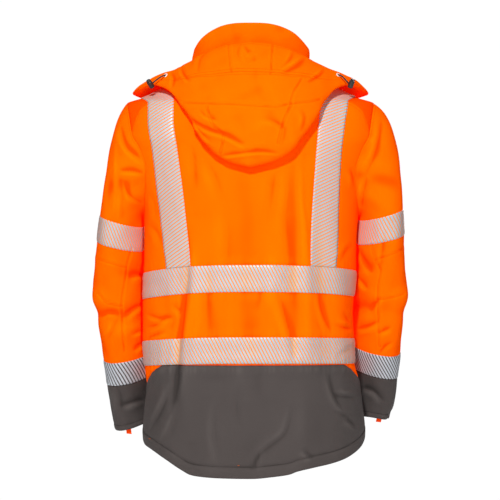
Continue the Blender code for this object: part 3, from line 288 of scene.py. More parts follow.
BODY_CREASES = creases(
    Face.BACK,
    (-3.4, 5, 12, (119, -325), (119, -411), (126, -435), (132, -492), (138, -526), (141, -575),
     (150, -668)),
    (2.4, 10, 7, (108, -330), (108, -420), (119, -490), (126, -545), (127, -590), (134, -650)),
    (-2.2, 5, 11, (150, -610), (165, -650), (197, -707)),
    (2.0, 9, 9, (140, -640), (158, -690), (176, -725)),
    (-1.2, 8, 15, (-72, -190), (-74, -240), (-69, -290), (-76, -350), (-79, -392)),
    (-1.8, 5, 11, (-104, -150), (-104, -239), (-112, -330), (-113, -388)),
    (-3.0, 7, 11, (-54, -432), (-66, -470), (-80, -520), (-84, -572)),
    (-3.4, 5, 9, (-133, -436), (-142, -472), (-157, -512)),
    (-1.8, 10, 14, (77, -380), (78, -438), (76, -515)),
    (-1.5, 12, 15, (45, -240), (40, -330), (46, -438), (50, -512)),
    (-1.4, 8, 12, (-14, -470), (-20, -440), (-26, -400)),
    (-2.6, 4, 8, (204, -474), (172, -484), (150, -480)),
    (-2.4, 5, 8, (204, -502), (185, -498), (160, -478)),
    (-2.2, 4, 7, (206, -527), (180, -515), (160, -508)),
    (-2.2, 5, 8, (150, -455), (140, -466), (128, -478)),
    (-2.2, 4, 7, (-202, -505), (-180, -502), (-160, -494)),
    (-2.0, 5, 7, (-202, -510), (-190, -490), (-176, -470)),
    (-1.6, 5, 8, (-206, -540), (-186, -545), (-160, -560)),
    (-2.2, 5, 11, (-150, -585), (-158, -622), (-184, -672)),
    (-1.5, 5, 14, (-84, -640), (-68, -700), (-26, -736), (-2, -770)),
    (-1.8, 4, 6, (-204, -636), (-180, -634), (-158, -628)),
    (-1.6, 4, 6, (-192, -672), (-178, -669), (-160, -660)),
    (-2.0, 5, 7, (-182, -672), (-195, -684), (-206, -696)),
    (-1.6, 4, 8, (-6, -775), (-12, -755), (-20, -733)),
    (-1.8, 5, 7, (-100, -730), (-112, -742), (-122, -750)),
    (-1.1, 7, 16, (62, -640), (66, -700), (52, -758)),
    (-0.7, 7, 18, (20, -600), (24, -660), (12, -700)),
    (-1.8, 8, 14, (112, -145), (104, -190), (102, -240)),
    (-1.8, 6, 9, (196, -300), (178, -320), (168, -350)),
    (-2.6, 5, 8, (-192, -196), (-200, -214), (-204, -235)),
    (-1.8, 6, 8, (-204, -340), (-186, -352), (-170, -380)),
    (-1.5, 9, 12, (92, -168), (66, -210), (48, -260)),
    (-1.3, 10, 14, (-66, -176), (-46, -220), (-38, -300)),
    (-1.4, 6, 10, (196, -240), (184, -262), (180, -300)),
) + creases(
    Face.FRONT,
    (-1.8, 9, 14, (28, -200), (34, -300), (30, -400)),
    (-1.8, 9, 14, (-30, -230), (-38, -320), (-32, -440)),
    (-2.4, 7, 12, (96, -300), (88, -400), (94, -520)),
    (-2.4, 7, 12, (-98, -260), (-86, -370), (-96, -500)),
    (-2.2, 6, 9, (190, -300), (160, -330), (140, -380)),
    (-2.2, 6, 9, (-192, -310), (-164, -338), (-146, -386)),
    (-2.0, 5, 8, (200, -480), (168, -490), (140, -484)),
    (-2.0, 5, 8, (-198, -492), (-170, -480), (-140, -488)),
    (-2.2, 8, 12, (120, -600), (128, -660), (120, -716)),
    (-2.2, 8, 12, (-124, -610), (-116, -664), (-126, -716)),
    (-1.6, 9, 12, (60, -450), (66, -520), (54, -640)),
    (-1.6, 9, 12, (-62, -460), (-54, -540), (-64, -650)),
)

SLEEVE_CREASES = creases(
    Face.BACK,
    (-3.0, 5, 9, (250, -108), (238, -150), (204, -182)),
    (-3.0, 4, 10, (254, -200), (230, -200), (202, -206)),
    (-2.6, 4, 9, (240, -218), (231, -246), (206, -264)),
    (-1.3, 4, 9, (250, -212), (244, -250), (246, -300)),
    (1.5, 6, 5, (260, -120), (259, -200), (262, -290)),
    (-3.4, 5, 8, (246, -484), (228, -470), (206, -456)),
    (-2.6, 4, 7, (232, -518), (218, -512), (204, -508)),
    (-2.6, 4, 7, (228, -550), (216, -540), (204, -532)),
    (-3.2, 5, 7, (234, -406), (218, -401), (204, -402)),
    (-1.8, 4, 8, (294, -484), (272, -474), (250, -478)),
    (-1.5, 4, 8, (258, -486), (266, -510), (280, -530)),
    (-2.6, 5, 8, (255, -658), (224, -648), (205, -644)),
    (-1.5, 7, 10, (262, -610), (252, -640), (250, -676)),
    (-2.8, 6, 10, (-256, -92), (-248, -150), (-220, -212)),
    (-2.2, 4, 6, (-212, -128), (-222, -133), (-240, -130)),
    (-3.0, 5, 8, (-224, -214), (-218, -245), (-214, -282)),
    (-3.2, 5, 8, (-208, -346), (-222, -380), (-238, -400)),
    (-1.3, 4, 9, (-257, -312), (-256, -350), (-250, -398)),
    (-3.0, 5, 8, (-206, -402), (-218, -416), (-230, -432)),
    (-3.2, 5, 8, (-206, -507), (-226, -502), (-250, -490)),
    (-2.6, 4, 7, (-232, -474), (-240, -460), (-252, -444)),
    (-2.2, 4, 7, (-246, -516), (-258, -510), (-274, -502)),
    (-2.6, 5, 8, (-214, -620), (-238, -626), (-264, -650)),
    (-1.8, 4, 8, (-250, -556), (-262, -540), (-280, -530)),
) + creases(
    Face.FRONT,
    (-2.6, 6, 9, (252, -120), (240, -160), (214, -200)),
    (-2.6, 6, 9, (-252, -120), (-240, -165), (-214, -205)),
    (-3.2, 5, 8, (206, -420), (230, -430), (262, -424)),
    (-3.4, 5, 8, (206, -452), (236, -458), (270, -446)),
    (-2.6, 5, 8, (206, -484), (232, -484), (258, -474)),
    (-3.2, 5, 8, (-206, -414), (-232, -424), (-262, -420)),
    (-3.4, 5, 8, (-206, -448), (-238, -452), (-270, -440)),
    (-2.6, 5, 8, (-206, -480), (-232, -482), (-258, -470)),
    (-1.8, 7, 9, (230, -560), (246, -600), (240, -660)),
    (-1.8, 7, 9, (-232, -560), (-250, -604), (-242, -660)),
)


class Dent(NamedTuple):
    """Soft dent or ridge across a sleeve: side, height, turn and their spreads."""

    side: int
    z: float
    turn: float
    z_spread: float
    turn_spread: float
    rise: float


SLEEVE_DENTS = table(
    Dent,
    (1, -398, 150, 16, 55, -5), (1, -446, 20, 18, 60, 3), (1, -474, 30, 15, 90, -4),
    (1, -508, 120, 16, 60, 4), (1, -230, 80, 22, 30, -4), (-1, -382, 150, 16, 55, -5),
    (-1, -446, 30, 18, 60, 3), (-1, -461, 150, 16, 50, -5), (-1, -474, 10, 14, 60, -3),
    (-1, -220, 80, 22, 30, -4),
)

CUFF_LIFTS = table(
    Dent,
    (1, -693, 140, 30, 50, 7), (-1, -693, 95, 45, 60, 11), (-1, -693, 22, 20, 26, 15),
)

HOOD_CREASES = creases(
    Face.BACK,
    (-4.2, 4, 10, (118, -104), (100, -114), (74, -126), (48, -134), (6, -156)),
    (-2.2, 3, 8, (130, -82), (112, -106), (92, -132), (70, -152)),
    (-2.4, 3, 9, (62, -176), (22, -170), (-18, -166), (-58, -170)),
    (-1.5, 5, 12, (-20, -100), (-50, -110), (-66, -126), (-60, -158)),
    (-1.6, 4, 9, (-96, -84), (-104, -104), (-98, -130)),
    (-1.4, 3, 7, (98, -84), (84, -98), (58, -108)),
    (-1.2, 3, 7, (84, -84), (72, -100), (68, -122)), (-1.4, 3, 6, (13, 42), (2, 24), (-14, 2)),
    (1.0, 3, 5, (13, 42), (17, 22), (8, 4)), (-2.4, 4, 9, (-108, 16), (-90, 0), (-60, -17)),
    (-1.4, 3, 7, (-84, 30), (-76, 10), (-58, -6)), (-1.3, 4, 9, (78, 32), (97, 10), (100, -16)),
    (-2.0, 3, 7, (134, 2), (129, -14), (114, -34)),
    (-1.6, 3, 6, (153, -8), (147, -24), (150, -44)),
    (-1.8, 3, 7, (-144, -6), (-132, -20), (-110, -32)),
)

ELBOW_SEAMS: tuple[Line, ...] = (
    ((228, -350), (237, -384), (241, -411), (248, -462), (247, -492), (244, -551)),
    ((294, -369), (266, -378), (239, -386)),
    ((293, -435), (275, -455), (248, -461)),
    ((-234, -342), (-242, -371), (-253, -394), (-248, -430), (-250, -505), (-252, -540)),
    ((-242, -371), (-268, -362), (-294, -351)),
    ((-246, -448), (-270, -445), (-296, -437)),
)

HOOD_SEAMS: tuple[Line, ...] = (
    ((127, -72), (80, -74), (21, -76), (-50, -80), (-77, -74), (-113, -70), (-134, -65)),
    ((82, -79), (78, -96), (72, -113), (58, -126), (50, -136), (52, -152), (57, -170)),
    ((-99, -27), (-91, -40), (-84, -52), (-77, -74)),
    ((-79, -76), (-71, -92), (-65, -106), (-58, -130), (-53, -152)),
    ((40, 43), (38, 14), (35, -13)),
    ((-44, 40), (-42, 10), (-40, -19)),
)


# ---------------------------------------------------------------- small sums


def mix(a: Array, b: Array, t: Array) -> Array:
    """Value a fraction t of the way from a to b."""
    return a + (b - a) * t


def signed_power(value: Array, power: Array) -> Array:
    """Power of a value's size, with its sign kept."""
    return np.sign(value) * np.abs(value) ** power


def unit(way: Array) -> Array:
    """Directions of length one."""
    return way / np.maximum(np.linalg.norm(way, axis=-1, keepdims=True), 1e-9)


def stacked(x: Array, y: Array, z: Array) -> Array:
    """Points from their coordinates."""
    return np.stack(np.broadcast_arrays(x, y, z), axis=-1).astype(float)


def paired(angle: Array, z: Array) -> Array:
    """Places from their turns and heights."""
    return np.stack(np.broadcast_arrays(angle, z), axis=-1)


def past_half(angle: Array) -> Array:
    """Turns of the right front counted on past a half turn, not back from zero."""
    return np.where(angle < 0, angle + math.tau, angle)


def bell(off: Array) -> Array:
    """Bell of height 1 that fades with the distance."""
    return np.exp(-(off ** 2))


def puckered(along: Array, rate: float, drift: float = 0.0) -> Array:
    """Share by which an uneven row of stitches draws the cloth in."""
    return 0.5 + 0.3 * np.sin(along * rate + np.sin(along * drift) * 2.0)


def bezier(points: Sequence[Array], t: Array) -> Array:
    """Points of a cubic curve with four control points."""
    a, b, c, d = points
    return a * (1 - t) ** 3 + b * 3 * t * (1 - t) ** 2 + c * 3 * t * t * (1 - t) + d * t ** 3


def path_lengths(points: Array) -> Array:
    """Length along a line of points from its start."""
    return np.concatenate([[0.0], np.cumsum(np.linalg.norm(np.diff(points, axis=0), axis=1))])


def graded(length: float, spacing: float = SPACING) -> Array:
    """Fractions along a length, closer together near both ends.

    Args:
        length: The length in millimetres.
        spacing: Distance between the fractions in the middle.

    Returns:
        Rising fractions from 0 to 1; the fourth lies 5 mm in from the end.
    """
    near = np.array(EDGE_ROWS)
    count = max(3, round((length - 2 * EDGE_END) / spacing) + 1)
    middle = np.linspace(EDGE_END, length - EDGE_END, count)
    return np.concatenate([near, middle, length - near[::-1]]) / length


class Curve:
    """Smooth curve through (key, value) pairs that never overshoots between them."""

    def __init__(self, keys: Sequence[float], values: Sequence[float]) -> None:
        """Keep the pairs in rising order and find their slopes."""
        order = np.argsort(keys)
        self.keys = np.asarray(keys, float)[order]
        self.values = np.asarray(values, float)[order]
        grade = np.diff(self.values) / np.diff(self.keys)
        product = grade[:-1] * grade[1:]
        total = np.where(product > 0, grade[:-1] + grade[1:], 1.0)
        inner = np.where(product > 0, 2 * product / total, 0.0)
        self.slopes = np.concatenate([grade[:1], inner, grade[-1:]])

    def __call__(self, key: Array) -> Array:
        """Value at a key, or at each of an array of them."""
        key = np.clip(np.asarray(key, float), self.keys[0], self.keys[-1])
        i = np.clip(np.searchsorted(self.keys, key) - 1, 0, len(self.keys) - 2)
        span = self.keys[i + 1] - self.keys[i]
        t = (key - self.keys[i]) / span
        return (
            self.values[i] * (1 + 2 * t) * (1 - t) ** 2
            + self.slopes[i] * span * t * (1 - t) ** 2
            + self.values[i + 1] * t * t * (3 - 2 * t)
            + self.slopes[i + 1] * span * t * t * (t - 1)
        )


def curves(table: Sequence[NamedTuple], key: str) -> dict[str, Curve]:
    """One Curve for each column of a table, read along its key column."""
    keys = [getattr(row, key) for row in table]
    names = [name for name in table[0]._fields if name != key]
    return {name: Curve(keys, [getattr(row, name) for row in table]) for name in names}


def smooth_line(line: Line, count: int) -> Array:
    """Evenly spaced points on a smooth curve through a line's points."""
    points = np.asarray(line, float)
    along = path_lengths(points)
    t = np.linspace(0, along[-1], count)
    return np.stack([Curve(along, points[:, i])(t) for i in range(points.shape[1])], axis=-1)


FAR_OFF = 1e6

def off_line(x: Array, z: Array, line: Array, reach: float) -> tuple[Array, Array]:
    """Distance of points from a line and the nearest place along it.

    Args:
        x: Points' x.
        z: Points' z.
        line: The line's (x, z) points.
        reach: Points further than this need no exact distance.

    Returns:
        Signed distances, above 0 on the line's left hand, and fractions along it.
    """
    signed = np.full(x.shape, FAR_OFF)
    part = np.zeros(x.shape)
    lo = line.min(axis=0) - reach
    hi = line.max(axis=0) + reach
    near = (x > lo[0]) & (x < hi[0]) & (z > lo[1]) & (z < hi[1])
    if not near.any():
        return signed, part
    px, pz = x[near], z[near]
    best = np.full(px.shape, FAR_OFF)
    best_signed = np.full(px.shape, FAR_OFF)
    best_part = np.zeros(px.shape)
    steps = np.diff(line, axis=0)
    sizes = np.linalg.norm(steps, axis=1)
    starts = np.concatenate([[0.0], np.cumsum(sizes)])
    for (ax, az), (dx, dz), size, start in zip(line[:-1], steps, sizes, starts):
        t = np.clip(((px - ax) * dx + (pz - az) * dz) / size ** 2, 0, 1)
        ox = px - ax - t * dx
        oz = pz - az - t * dz
        distance = np.hypot(ox, oz)
        closer = distance < best
        best = np.where(closer, distance, best)
        hand = np.where(dx * oz - dz * ox >= 0, 1.0, -1.0)
        best_signed = np.where(closer, hand * distance, best_signed)
        best_part = np.where(closer, (start + t * size) / starts[-1], best_part)
    signed[near] = best_signed
    part[near] = best_part
    return signed, part


@dataclass(frozen=True)
class CreaseForm:
    """Cross section that every crease shares; most values are shares of its width."""

    rounding: float = 1.2
    crest: float = 1.1
    slope: float = 0.45
    lip_at: float = 1.9
    lip_width: float = 1.2
    sharp_share: float = 0.6
    soft_share: float = 0.4
    lip_share: float = 0.6
    taper: float = 0.8
    reach: float = 3.0
    points_a_corner: int = 4

    def across(self, crease: Crease, signed: Array) -> Array:
        """Height of a crease of rise 1 at signed distances from its line."""
        width = np.where(signed > 0, crease.width, crease.far)
        sharp = np.sqrt(signed ** 2 + self.rounding) - self.crest
        lip = bell((signed - self.lip_at * crease.width) / (self.lip_width * crease.width))
        ridge = self.sharp_share * np.exp(-sharp / (self.slope * width))
        return ridge + self.soft_share * bell(signed / width) - self.lip_share * lip

    def rise(self, x: Array, z: Array, face: Array, rows: Sequence[Crease]) -> Array:
        """Height that a set of creases adds.

        Args:
            x: Points' x, seen square on.
            z: Points' z.
            face: 1 for points on the back, -1 for the front.
            rows: The creases.

        Returns:
            The height at each point.
        """
        total = np.zeros(x.shape)
        for crease in rows:
            line = smooth_line(crease.line, self.points_a_corner * len(crease.line))
            signed, part = off_line(x, z, line, self.reach * max(crease.width, crease.far))
            shape = self.across(crease, signed) * np.sin(math.pi * part) ** self.taper
            total += np.where(face == crease.face.value, crease.rise * shape, 0.0)
        return total


@dataclass(frozen=True)
class SeamForm:
    """Cross section of a sewn seam: a narrow valley between two low ridges."""

    valley: float = 1.9
    ridge_at: float = 4.2
    ridge_width: float = 2.6
    ridge_share: float = 0.45
    reach: float = 16.0
    points_a_corner: int = 4

    def rise(self, x: Array, z: Array, seams: Sequence[Line], depth: float) -> Array:
        """Height that a set of seams adds.

        Args:
            x: Points' x, seen square on.
            z: Points' z.
            seams: The seams' lines.
            depth: Depth of the valley.

        Returns:
            The height at each point.
        """
        total = np.zeros(x.shape)
        for seam in seams:
            line = smooth_line(seam, self.points_a_corner * len(seam))
            signed, _ = off_line(x, z, line, self.reach)
            ridge = bell((np.abs(signed) - self.ridge_at) / self.ridge_width)
            total += depth * (self.ridge_share * ridge - bell(signed / self.valley))
        return total


CREASED = CreaseForm()
SEWN = SeamForm()


# Share of a wave across and up, where it starts, and its height.
WAVES = (
    (0.051, 0.022, 0.4, 0.55),
    (-0.034, 0.043, 2.1, 0.5),
    (0.083, -0.031, 4.4, 0.34),
    (0.026, 0.097, 1.3, 0.3),
    (-0.118, 0.052, 5.2, 0.2),
    (0.071, 0.129, 3.3, 0.16),
)


def unevenness(x: Array, z: Array) -> Array:
    """Slight waviness that loose cloth has everywhere."""
    total = np.zeros(np.shape(x))
    for across, up, start, height in WAVES:
        total += height * np.sin(across * x + up * z + start)
    return total


def softened(values: Array, rounds: int) -> Array:
    """Values of a grid blurred by repeated averaging with their neighbours."""
    out = values
    for _ in range(rounds):
        wide = np.pad(out, 1, mode="edge")
        out = (
            4 * out + wide[:-2, 1:-1] + wide[2:, 1:-1] + wide[1:-1, :-2] + wide[1:-1, 2:]
        ) / 8
    return out


# ---------------------------------------------------------------- the body's skin


class HemPoint(NamedTuple):
    """Height of the back hem at a turn in radians."""

    turn: float
    z: float


BACK_HEM = table(
    HemPoint,
    (0.0, -716), (0.085, -724), (0.434, -736), (0.739, -754), (0.958, -773), (1.051, -781),
    (1.137, -784), (1.341, -787), (1.571, -788), (1.70, -785), (1.849, -780), (1.91, -775),
    (2.075, -768), (2.281, -761), (2.492, -752), (2.736, -738), (2.961, -724), (3.142, -712),
)


def hem_height(torso: "Torso", angle: Array) -> Array:
    """Height of the hem at a turn."""
    return np.where(np.sin(angle) >= 0, torso.back_hem(angle), torso.ring_height(HEM, angle))


@dataclass
class Torso:
    """Folded skin of the body, addressed by turn (radians) and height."""

    neck_half_width: float = 108.0
    neck_side_z: float = -8.0
    neck_back_rise: float = 8.0
    neck_front_drop: float = 67.0
    corner_turn: float = 45.0
    tip_turn: float = 60.0
    zip_edge: float = 5.0
    front_reach: float = 0.95
    back_bow: float = 18.0
    front_bow: float = 8.0
    brace_x: float = 170.0
    brace_y: float = 60.0
    brace_foot: float = -388.0
    brace_fade: float = 10.0
    side_fade: float = 2.2
    fold_taper: float = 0.7
    crease_strength: float = 1.2
    wave_stretch: float = 0.45
    wave_top: float = -40.0
    wave_fade: float = 60.0
    tape_dip: float = 1.1
    tape_swell: float = 0.8
    swell_width: float = 2.4
    ring_pucker: tuple[float, float] = (0.55, 0.17)
    brace_pucker: tuple[float, float] = (0.51, 0.13)
    hem_dip: float = 1.5
    hem_step: float = 0.6
    hem_width: float = 2.6
    lowest_shoulder: float = -140.0
    halvings: int = 40

    def __post_init__(self) -> None:
        """Read the tables."""
        self.at = curves(TORSO, "z")
        self.brace = curves(BRACES, "z")
        self.armhole = curves(ARMHOLE, "turn")
        self.back_hem = curves(BACK_HEM, "turn")["z"]

    def sizes(self, z: Array, to_left: Array, to_back: Array) -> tuple[Array, Array, Array]:
        """Half width, half depth and squareness of the level cut at z."""
        half_width = np.where(to_left, self.at["left"](z), self.at["right"](z))
        half_depth = np.where(to_back, self.at["back"](z), self.at["front"](z))
        return half_width, half_depth, self.at["square"](z)

    def shell(self, angle: Array, z: Array) -> Array:
        """Points on the unfolded body."""
        across, along = np.cos(angle), np.sin(angle)
        half_width, half_depth, square = self.sizes(z, across >= 0, along >= 0)
        x = half_width * signed_power(across, 2 / square)
        y = half_depth * signed_power(along, 2 / square)
        return stacked(x, y, z)

    def shell_normal(self, angle: Array, z: Array) -> Array:
        """Outward directions of the unfolded body, from points close by."""
        turn, rise = 0.02, 1.5
        across = self.shell(angle + turn, z) - self.shell(angle - turn, z)
        up = self.shell(angle, z + rise) - self.shell(angle, z - rise)
        return unit(np.cross(across, up))

    def relief(self, point: Array, angle: Array) -> Array:
        """Height of folds, creases and sewn edges over the unfolded body.

        Args:
            point: Points on the unfolded body.
            angle: Their turns.

        Returns:
            The height at each point.
        """
        x, z = point[..., 0], point[..., 2]
        face = np.where(np.sin(angle) >= 0, 1, -1)
        fade = np.minimum(1.0, np.abs(np.sin(angle)) * self.side_fade)
        total = np.zeros(x.shape)
        for fold in BODY_FOLDS:
            t = np.clip((fold.z_top - z) / (fold.z_top - fold.z_end), 0, 1)
            centre = mix(fold.x_top, fold.x_end, t)
            shape = bell((x - centre) / fold.width) * np.sin(math.pi * t) ** self.fold_taper
            total += np.where(face == fold.face, fold.rise * shape, 0.0)
        total += self.crease_strength * CREASED.rise(x, z, face, BODY_CREASES)
        low = np.clip((self.wave_top - z) / self.wave_fade, 0, 1)
        total += unevenness(x, self.wave_stretch * z) * low
        return total * fade + self.sewn_rise(x, z, angle)

    def sewn_rise(self, x: Array, z: Array, angle: Array) -> Array:
        """Height that the sewn edges of the tapes, the seam and the hem give the cloth."""
        total = np.zeros(x.shape)
        pucker = puckered(x, *self.ring_pucker)
        for ring in (*UPPER_TAPE, *LOWER_TAPE, GREY_SEAM):
            off = (z - self.ring_height(ring, angle)) / SEWN_WIDTH
            total -= self.tape_dip * bell(off) * pucker
            swell = bell((np.abs(off) - SEWN_WIDTH) / self.swell_width)
            total += self.tape_swell * swell * (1 - pucker)
        off = (z - hem_height(self, angle) - HEM_TURN_UP) / self.hem_width
        total += self.hem_step * np.clip(-off, 0, 1) - self.hem_dip * bell(off)
        on_brace = np.clip((z - self.brace_foot) / self.brace_fade, 0, 1)
        pucker = puckered(z, *self.brace_pucker)
        for side in (1, -1):
            for edge in ("inner", "outer"):
                off = (side * x - self.brace_edge(edge, side, z)) / SEWN_WIDTH
                total -= bell(off) * on_brace * pucker
        return total

    def folded(self, places: Array) -> tuple[Array, Array]:
        """Points on the folded body at places, and the height of the folds there."""
        angle, z = places[..., 0], places[..., 1]
        point = self.shell(angle, z)
        rise = self.relief(point, angle)
        return point + self.shell_normal(angle, z) * rise[..., None], rise

    def skin(self, angle: Array, z: Array) -> Array:
        """Points on the folded body."""
        return self.folded(paired(angle, z))[0]

    def place_at_x(self, x: Array, z: Array, face: Face) -> Array:
        """Turn of the back or front point at x and z."""
        half_width, _, square = self.sizes(z, np.asarray(x) >= 0, face is Face.BACK)
        reach = np.clip(np.abs(x) / half_width, 0, 1) ** (square / 2)
        return face.value * np.arccos(np.copysign(reach, x))

    def turn_of(self, x: Array, y: Array, z: Array) -> Array:
        """Turn of the body point that lies over x and y in the cut at z."""
        half_width, half_depth, square = self.sizes(z, x >= 0, y >= 0)
        return np.arctan2(
            signed_power(y / half_depth, square / 2), signed_power(x / half_width, square / 2)
        )

    def level_of(self, x: Array, y: Array) -> Array:
        """Height of the shoulder slope over x and y."""
        low = np.full(np.shape(x), self.lowest_shoulder)
        high = np.zeros(np.shape(x))
        for _ in range(self.halvings):
            z = (low + high) / 2
            half_width, half_depth, square = self.sizes(z, x >= 0, y >= 0)
            inside = np.abs(x / half_width) ** square + np.abs(y / half_depth) ** square < 1
            low = np.where(inside, z, low)
            high = np.where(inside, high, z)
        return (low + high) / 2

    def side_width(self, y: Array, z: Array, side: int) -> Array:
        """Half width of the body at depth y in the cut at z, 0 beyond its depth."""
        half_width, half_depth, square = self.sizes(z, side > 0, y >= 0)
        left_over = np.maximum(0.0, 1 - np.abs(y / half_depth) ** square)
        return half_width * left_over ** (1 / square)

    def ring_height(self, ring: Ring, angle: Array) -> Array:
        """Height of a line round the body at a turn."""
        to_left = np.cos(angle) >= 0
        side = np.where(to_left, ring.left, ring.right)
        middle = np.where(np.sin(angle) >= 0, ring.back, ring.front)
        power = np.where(to_left, ring.power, ring.power_right)
        knee = np.where(to_left, ring.knee, ring.knee_right)
        return mix(side, middle, np.minimum(np.abs(np.sin(angle)) / knee, 1.0) ** power)

    def armhole_place(self, turn: Array, side: int) -> tuple[Array, Array]:
        """Turn and height on the body of armhole points; turn is above 0 at the back."""
        z = self.armhole["z"](np.abs(turn))
        reach = self.armhole["reach"](np.abs(turn))
        y = np.where(turn >= 0, reach, -reach * self.front_reach)
        x = side * self.side_width(y, z, side)
        return self.turn_of(x, y, z), z

    def neck_place(self, turn: Array) -> tuple[Array, Array]:
        """Turn and height on the body of neck seam points, turn in degrees."""
        swing = np.radians(turn)
        x = self.neck_half_width * np.cos(swing)
        to_back = np.sin(swing) >= 0
        drop = np.where(to_back, self.neck_back_rise, -self.neck_front_drop)
        z = self.neck_side_z + drop * np.sin(swing) ** 2
        back = self.place_at_x(x, z, Face.BACK)
        return np.where(to_back, back, -back), z

    def plan(self, place: tuple[Array, Array]) -> Array:
        """Plan points of unfolded body places."""
        return self.shell(*place)[..., :2]

    def seam_plan(self, face: Face, side: int, t: Array) -> Array:
        """Plan points of a yoke's seam with the back or front, neck corner to armhole.

        Args:
            face: The seam with the back or with the front.
            side: 1 for the left shoulder, -1 for the right.
            t: Fractions along the seam.

        Returns:
            The (x, y) points.
        """
        corner = self.corner_turn if side > 0 else 180 - self.corner_turn
        start = self.plan(self.neck_place(np.array(face.value * corner)))
        end = self.plan(self.armhole_place(np.array(face.value * self.tip_turn), side))
        points = start + (end - start) * np.asarray(t)[..., None]
        bow = self.back_bow if face is Face.BACK else self.front_bow
        points[..., 1] += face.value * bow * np.sin(math.pi * np.asarray(t))
        return points

    def brace_edge(self, edge: str, side: int, z: Array) -> Array:
        """Distance from the centre to the inner or outer edge of a brace at heights."""
        return self.brace[f"{edge}_{Side(side).word}"](z)

    def brace_fractions(self, face: Face, side: int) -> list[float]:
        """Fractions of a yoke seam where the brace's inner and outer edges cross it."""
        z = self.level_of(np.array(side * self.brace_x), np.array(face.value * self.brace_y))
        (start, _), (end, _) = self.seam_plan(face, side, np.array([0.0, 1.0]))
        xs = [side * float(self.brace_edge(edge, side, z)) for edge in ("inner", "outer")]
        return [(x - start) / (end - start) for x in xs]

    def on_shoulder(self, plan: Array) -> tuple[Array, Array]:
        """Turn and height of the shoulder points over plan points."""
        z = self.level_of(plan[..., 0], plan[..., 1])
        return self.turn_of(plan[..., 0], plan[..., 1], z), z


# ---------------------------------------------------------------- node building


class Tree:
    """Short way to lay nodes in a material or a group."""

    def __init__(self, tree: bpy.types.NodeTree) -> None:
        """Keep the tree that nodes go into."""
        self.tree = tree

    def node(self, kind: str, **settings: object) -> bpy.types.Node:
        """New node with its settings."""
        made = self.tree.nodes.new("ShaderNode" + kind)
        for name, value in settings.items():
            setattr(made, name, value)
        return made

    def plug(self, value: object, socket: bpy.types.NodeSocket) -> None:
        """Join an output to a socket, or set the socket's value."""
        if isinstance(value, bpy.types.NodeSocket):
            self.tree.links.new(value, socket)
        else:
            socket.default_value = value

    def fill(self, node: bpy.types.Node, values: dict[str | int, object]) -> bpy.types.Node:
        """Plug an output or a value into each of a node's inputs, and hand the node back."""
        for key, value in values.items():
            self.plug(value, node.inputs[key])
        return node

    def group(self, shared: bpy.types.NodeTree, values: dict[str, object]) -> Sequence[Output]:
        """Outputs of a shared effect with this material's own values."""
        return self.fill(self.node("Group", node_tree=shared), values).outputs

    def sum(self, operation: str, a: object, b: object = 0.0, c: object = 0.0) -> Output:
        """Output of a Math node."""
        return self.fill(self.node("Math", operation=operation), {0: a, 1: b, 2: c}).outputs[0]

    def blend(self, amount: object, a: object, b: object) -> Output:
        """Output of a colour Mix node."""
        return self.fill(self.node("Mix", data_type="RGBA"), {0: amount, 6: a, 7: b}).outputs[2]

    def step(self, value: object, low: float, high: float) -> Output:
        """Smooth step from 0 at low to 1 at high."""
        made = self.node("MapRange", interpolation_type="SMOOTHSTEP")
        return self.fill(made, {0: value, 1: low, 2: high}).outputs[0]

    def noise(self, scale: float, detail: float, where: object) -> Output:
        """Value of a noise texture."""
        values = {"Vector": where, "Scale": scale, "Detail": detail}
        return self.fill(self.node("TexNoise"), values).outputs["Fac"]

    def bump(self, height: Output, strength: float, distance: float) -> Output:
        """Normal of a surface that a height presses in and out, distance in metres."""
        values = {"Strength": strength, "Distance": distance, "Height": height}
        return self.fill(self.node("Bump"), values).outputs[0]

    def place(self, kind: str) -> Output:
        """Where a point lies: UV or Object coordinates."""
        return self.node("TexCoord").outputs[kind]


def rgba(colour: Colour) -> tuple[float, float, float, float]:
    """Colour with its opacity."""
    return (*colour, 1.0)


def new_group(
    name: str, inputs: Sockets, outputs: Sockets
) -> tuple[Tree, Sequence[Output], bpy.types.Node]:
    """Empty node group with its sockets.

    Args:
        name: The group's name.
        inputs: Name and kind (Float or Color) of each input.
        outputs: The same for each output.

    Returns:
        The group's tree, its given values and its output node.
    """
    group = bpy.data.node_groups.new(name, "ShaderNodeTree")
    for way, sockets in (("INPUT", inputs), ("OUTPUT", outputs)):
        for title, kind in sockets:
            group.interface.new_socket(title, in_out=way, socket_type="NodeSocket" + kind)
    given = group.nodes.new("NodeGroupInput").outputs
    return Tree(group), given, group.nodes.new("NodeGroupOutput")


def new_material(name: str) -> tuple[bpy.types.Material, Tree, bpy.types.Node]:
    """Material with its tree and its shader."""
    made = bpy.data.materials.new(name)
    made.use_nodes = True
    return made, Tree(made.node_tree), made.node_tree.nodes["Principled BSDF"]


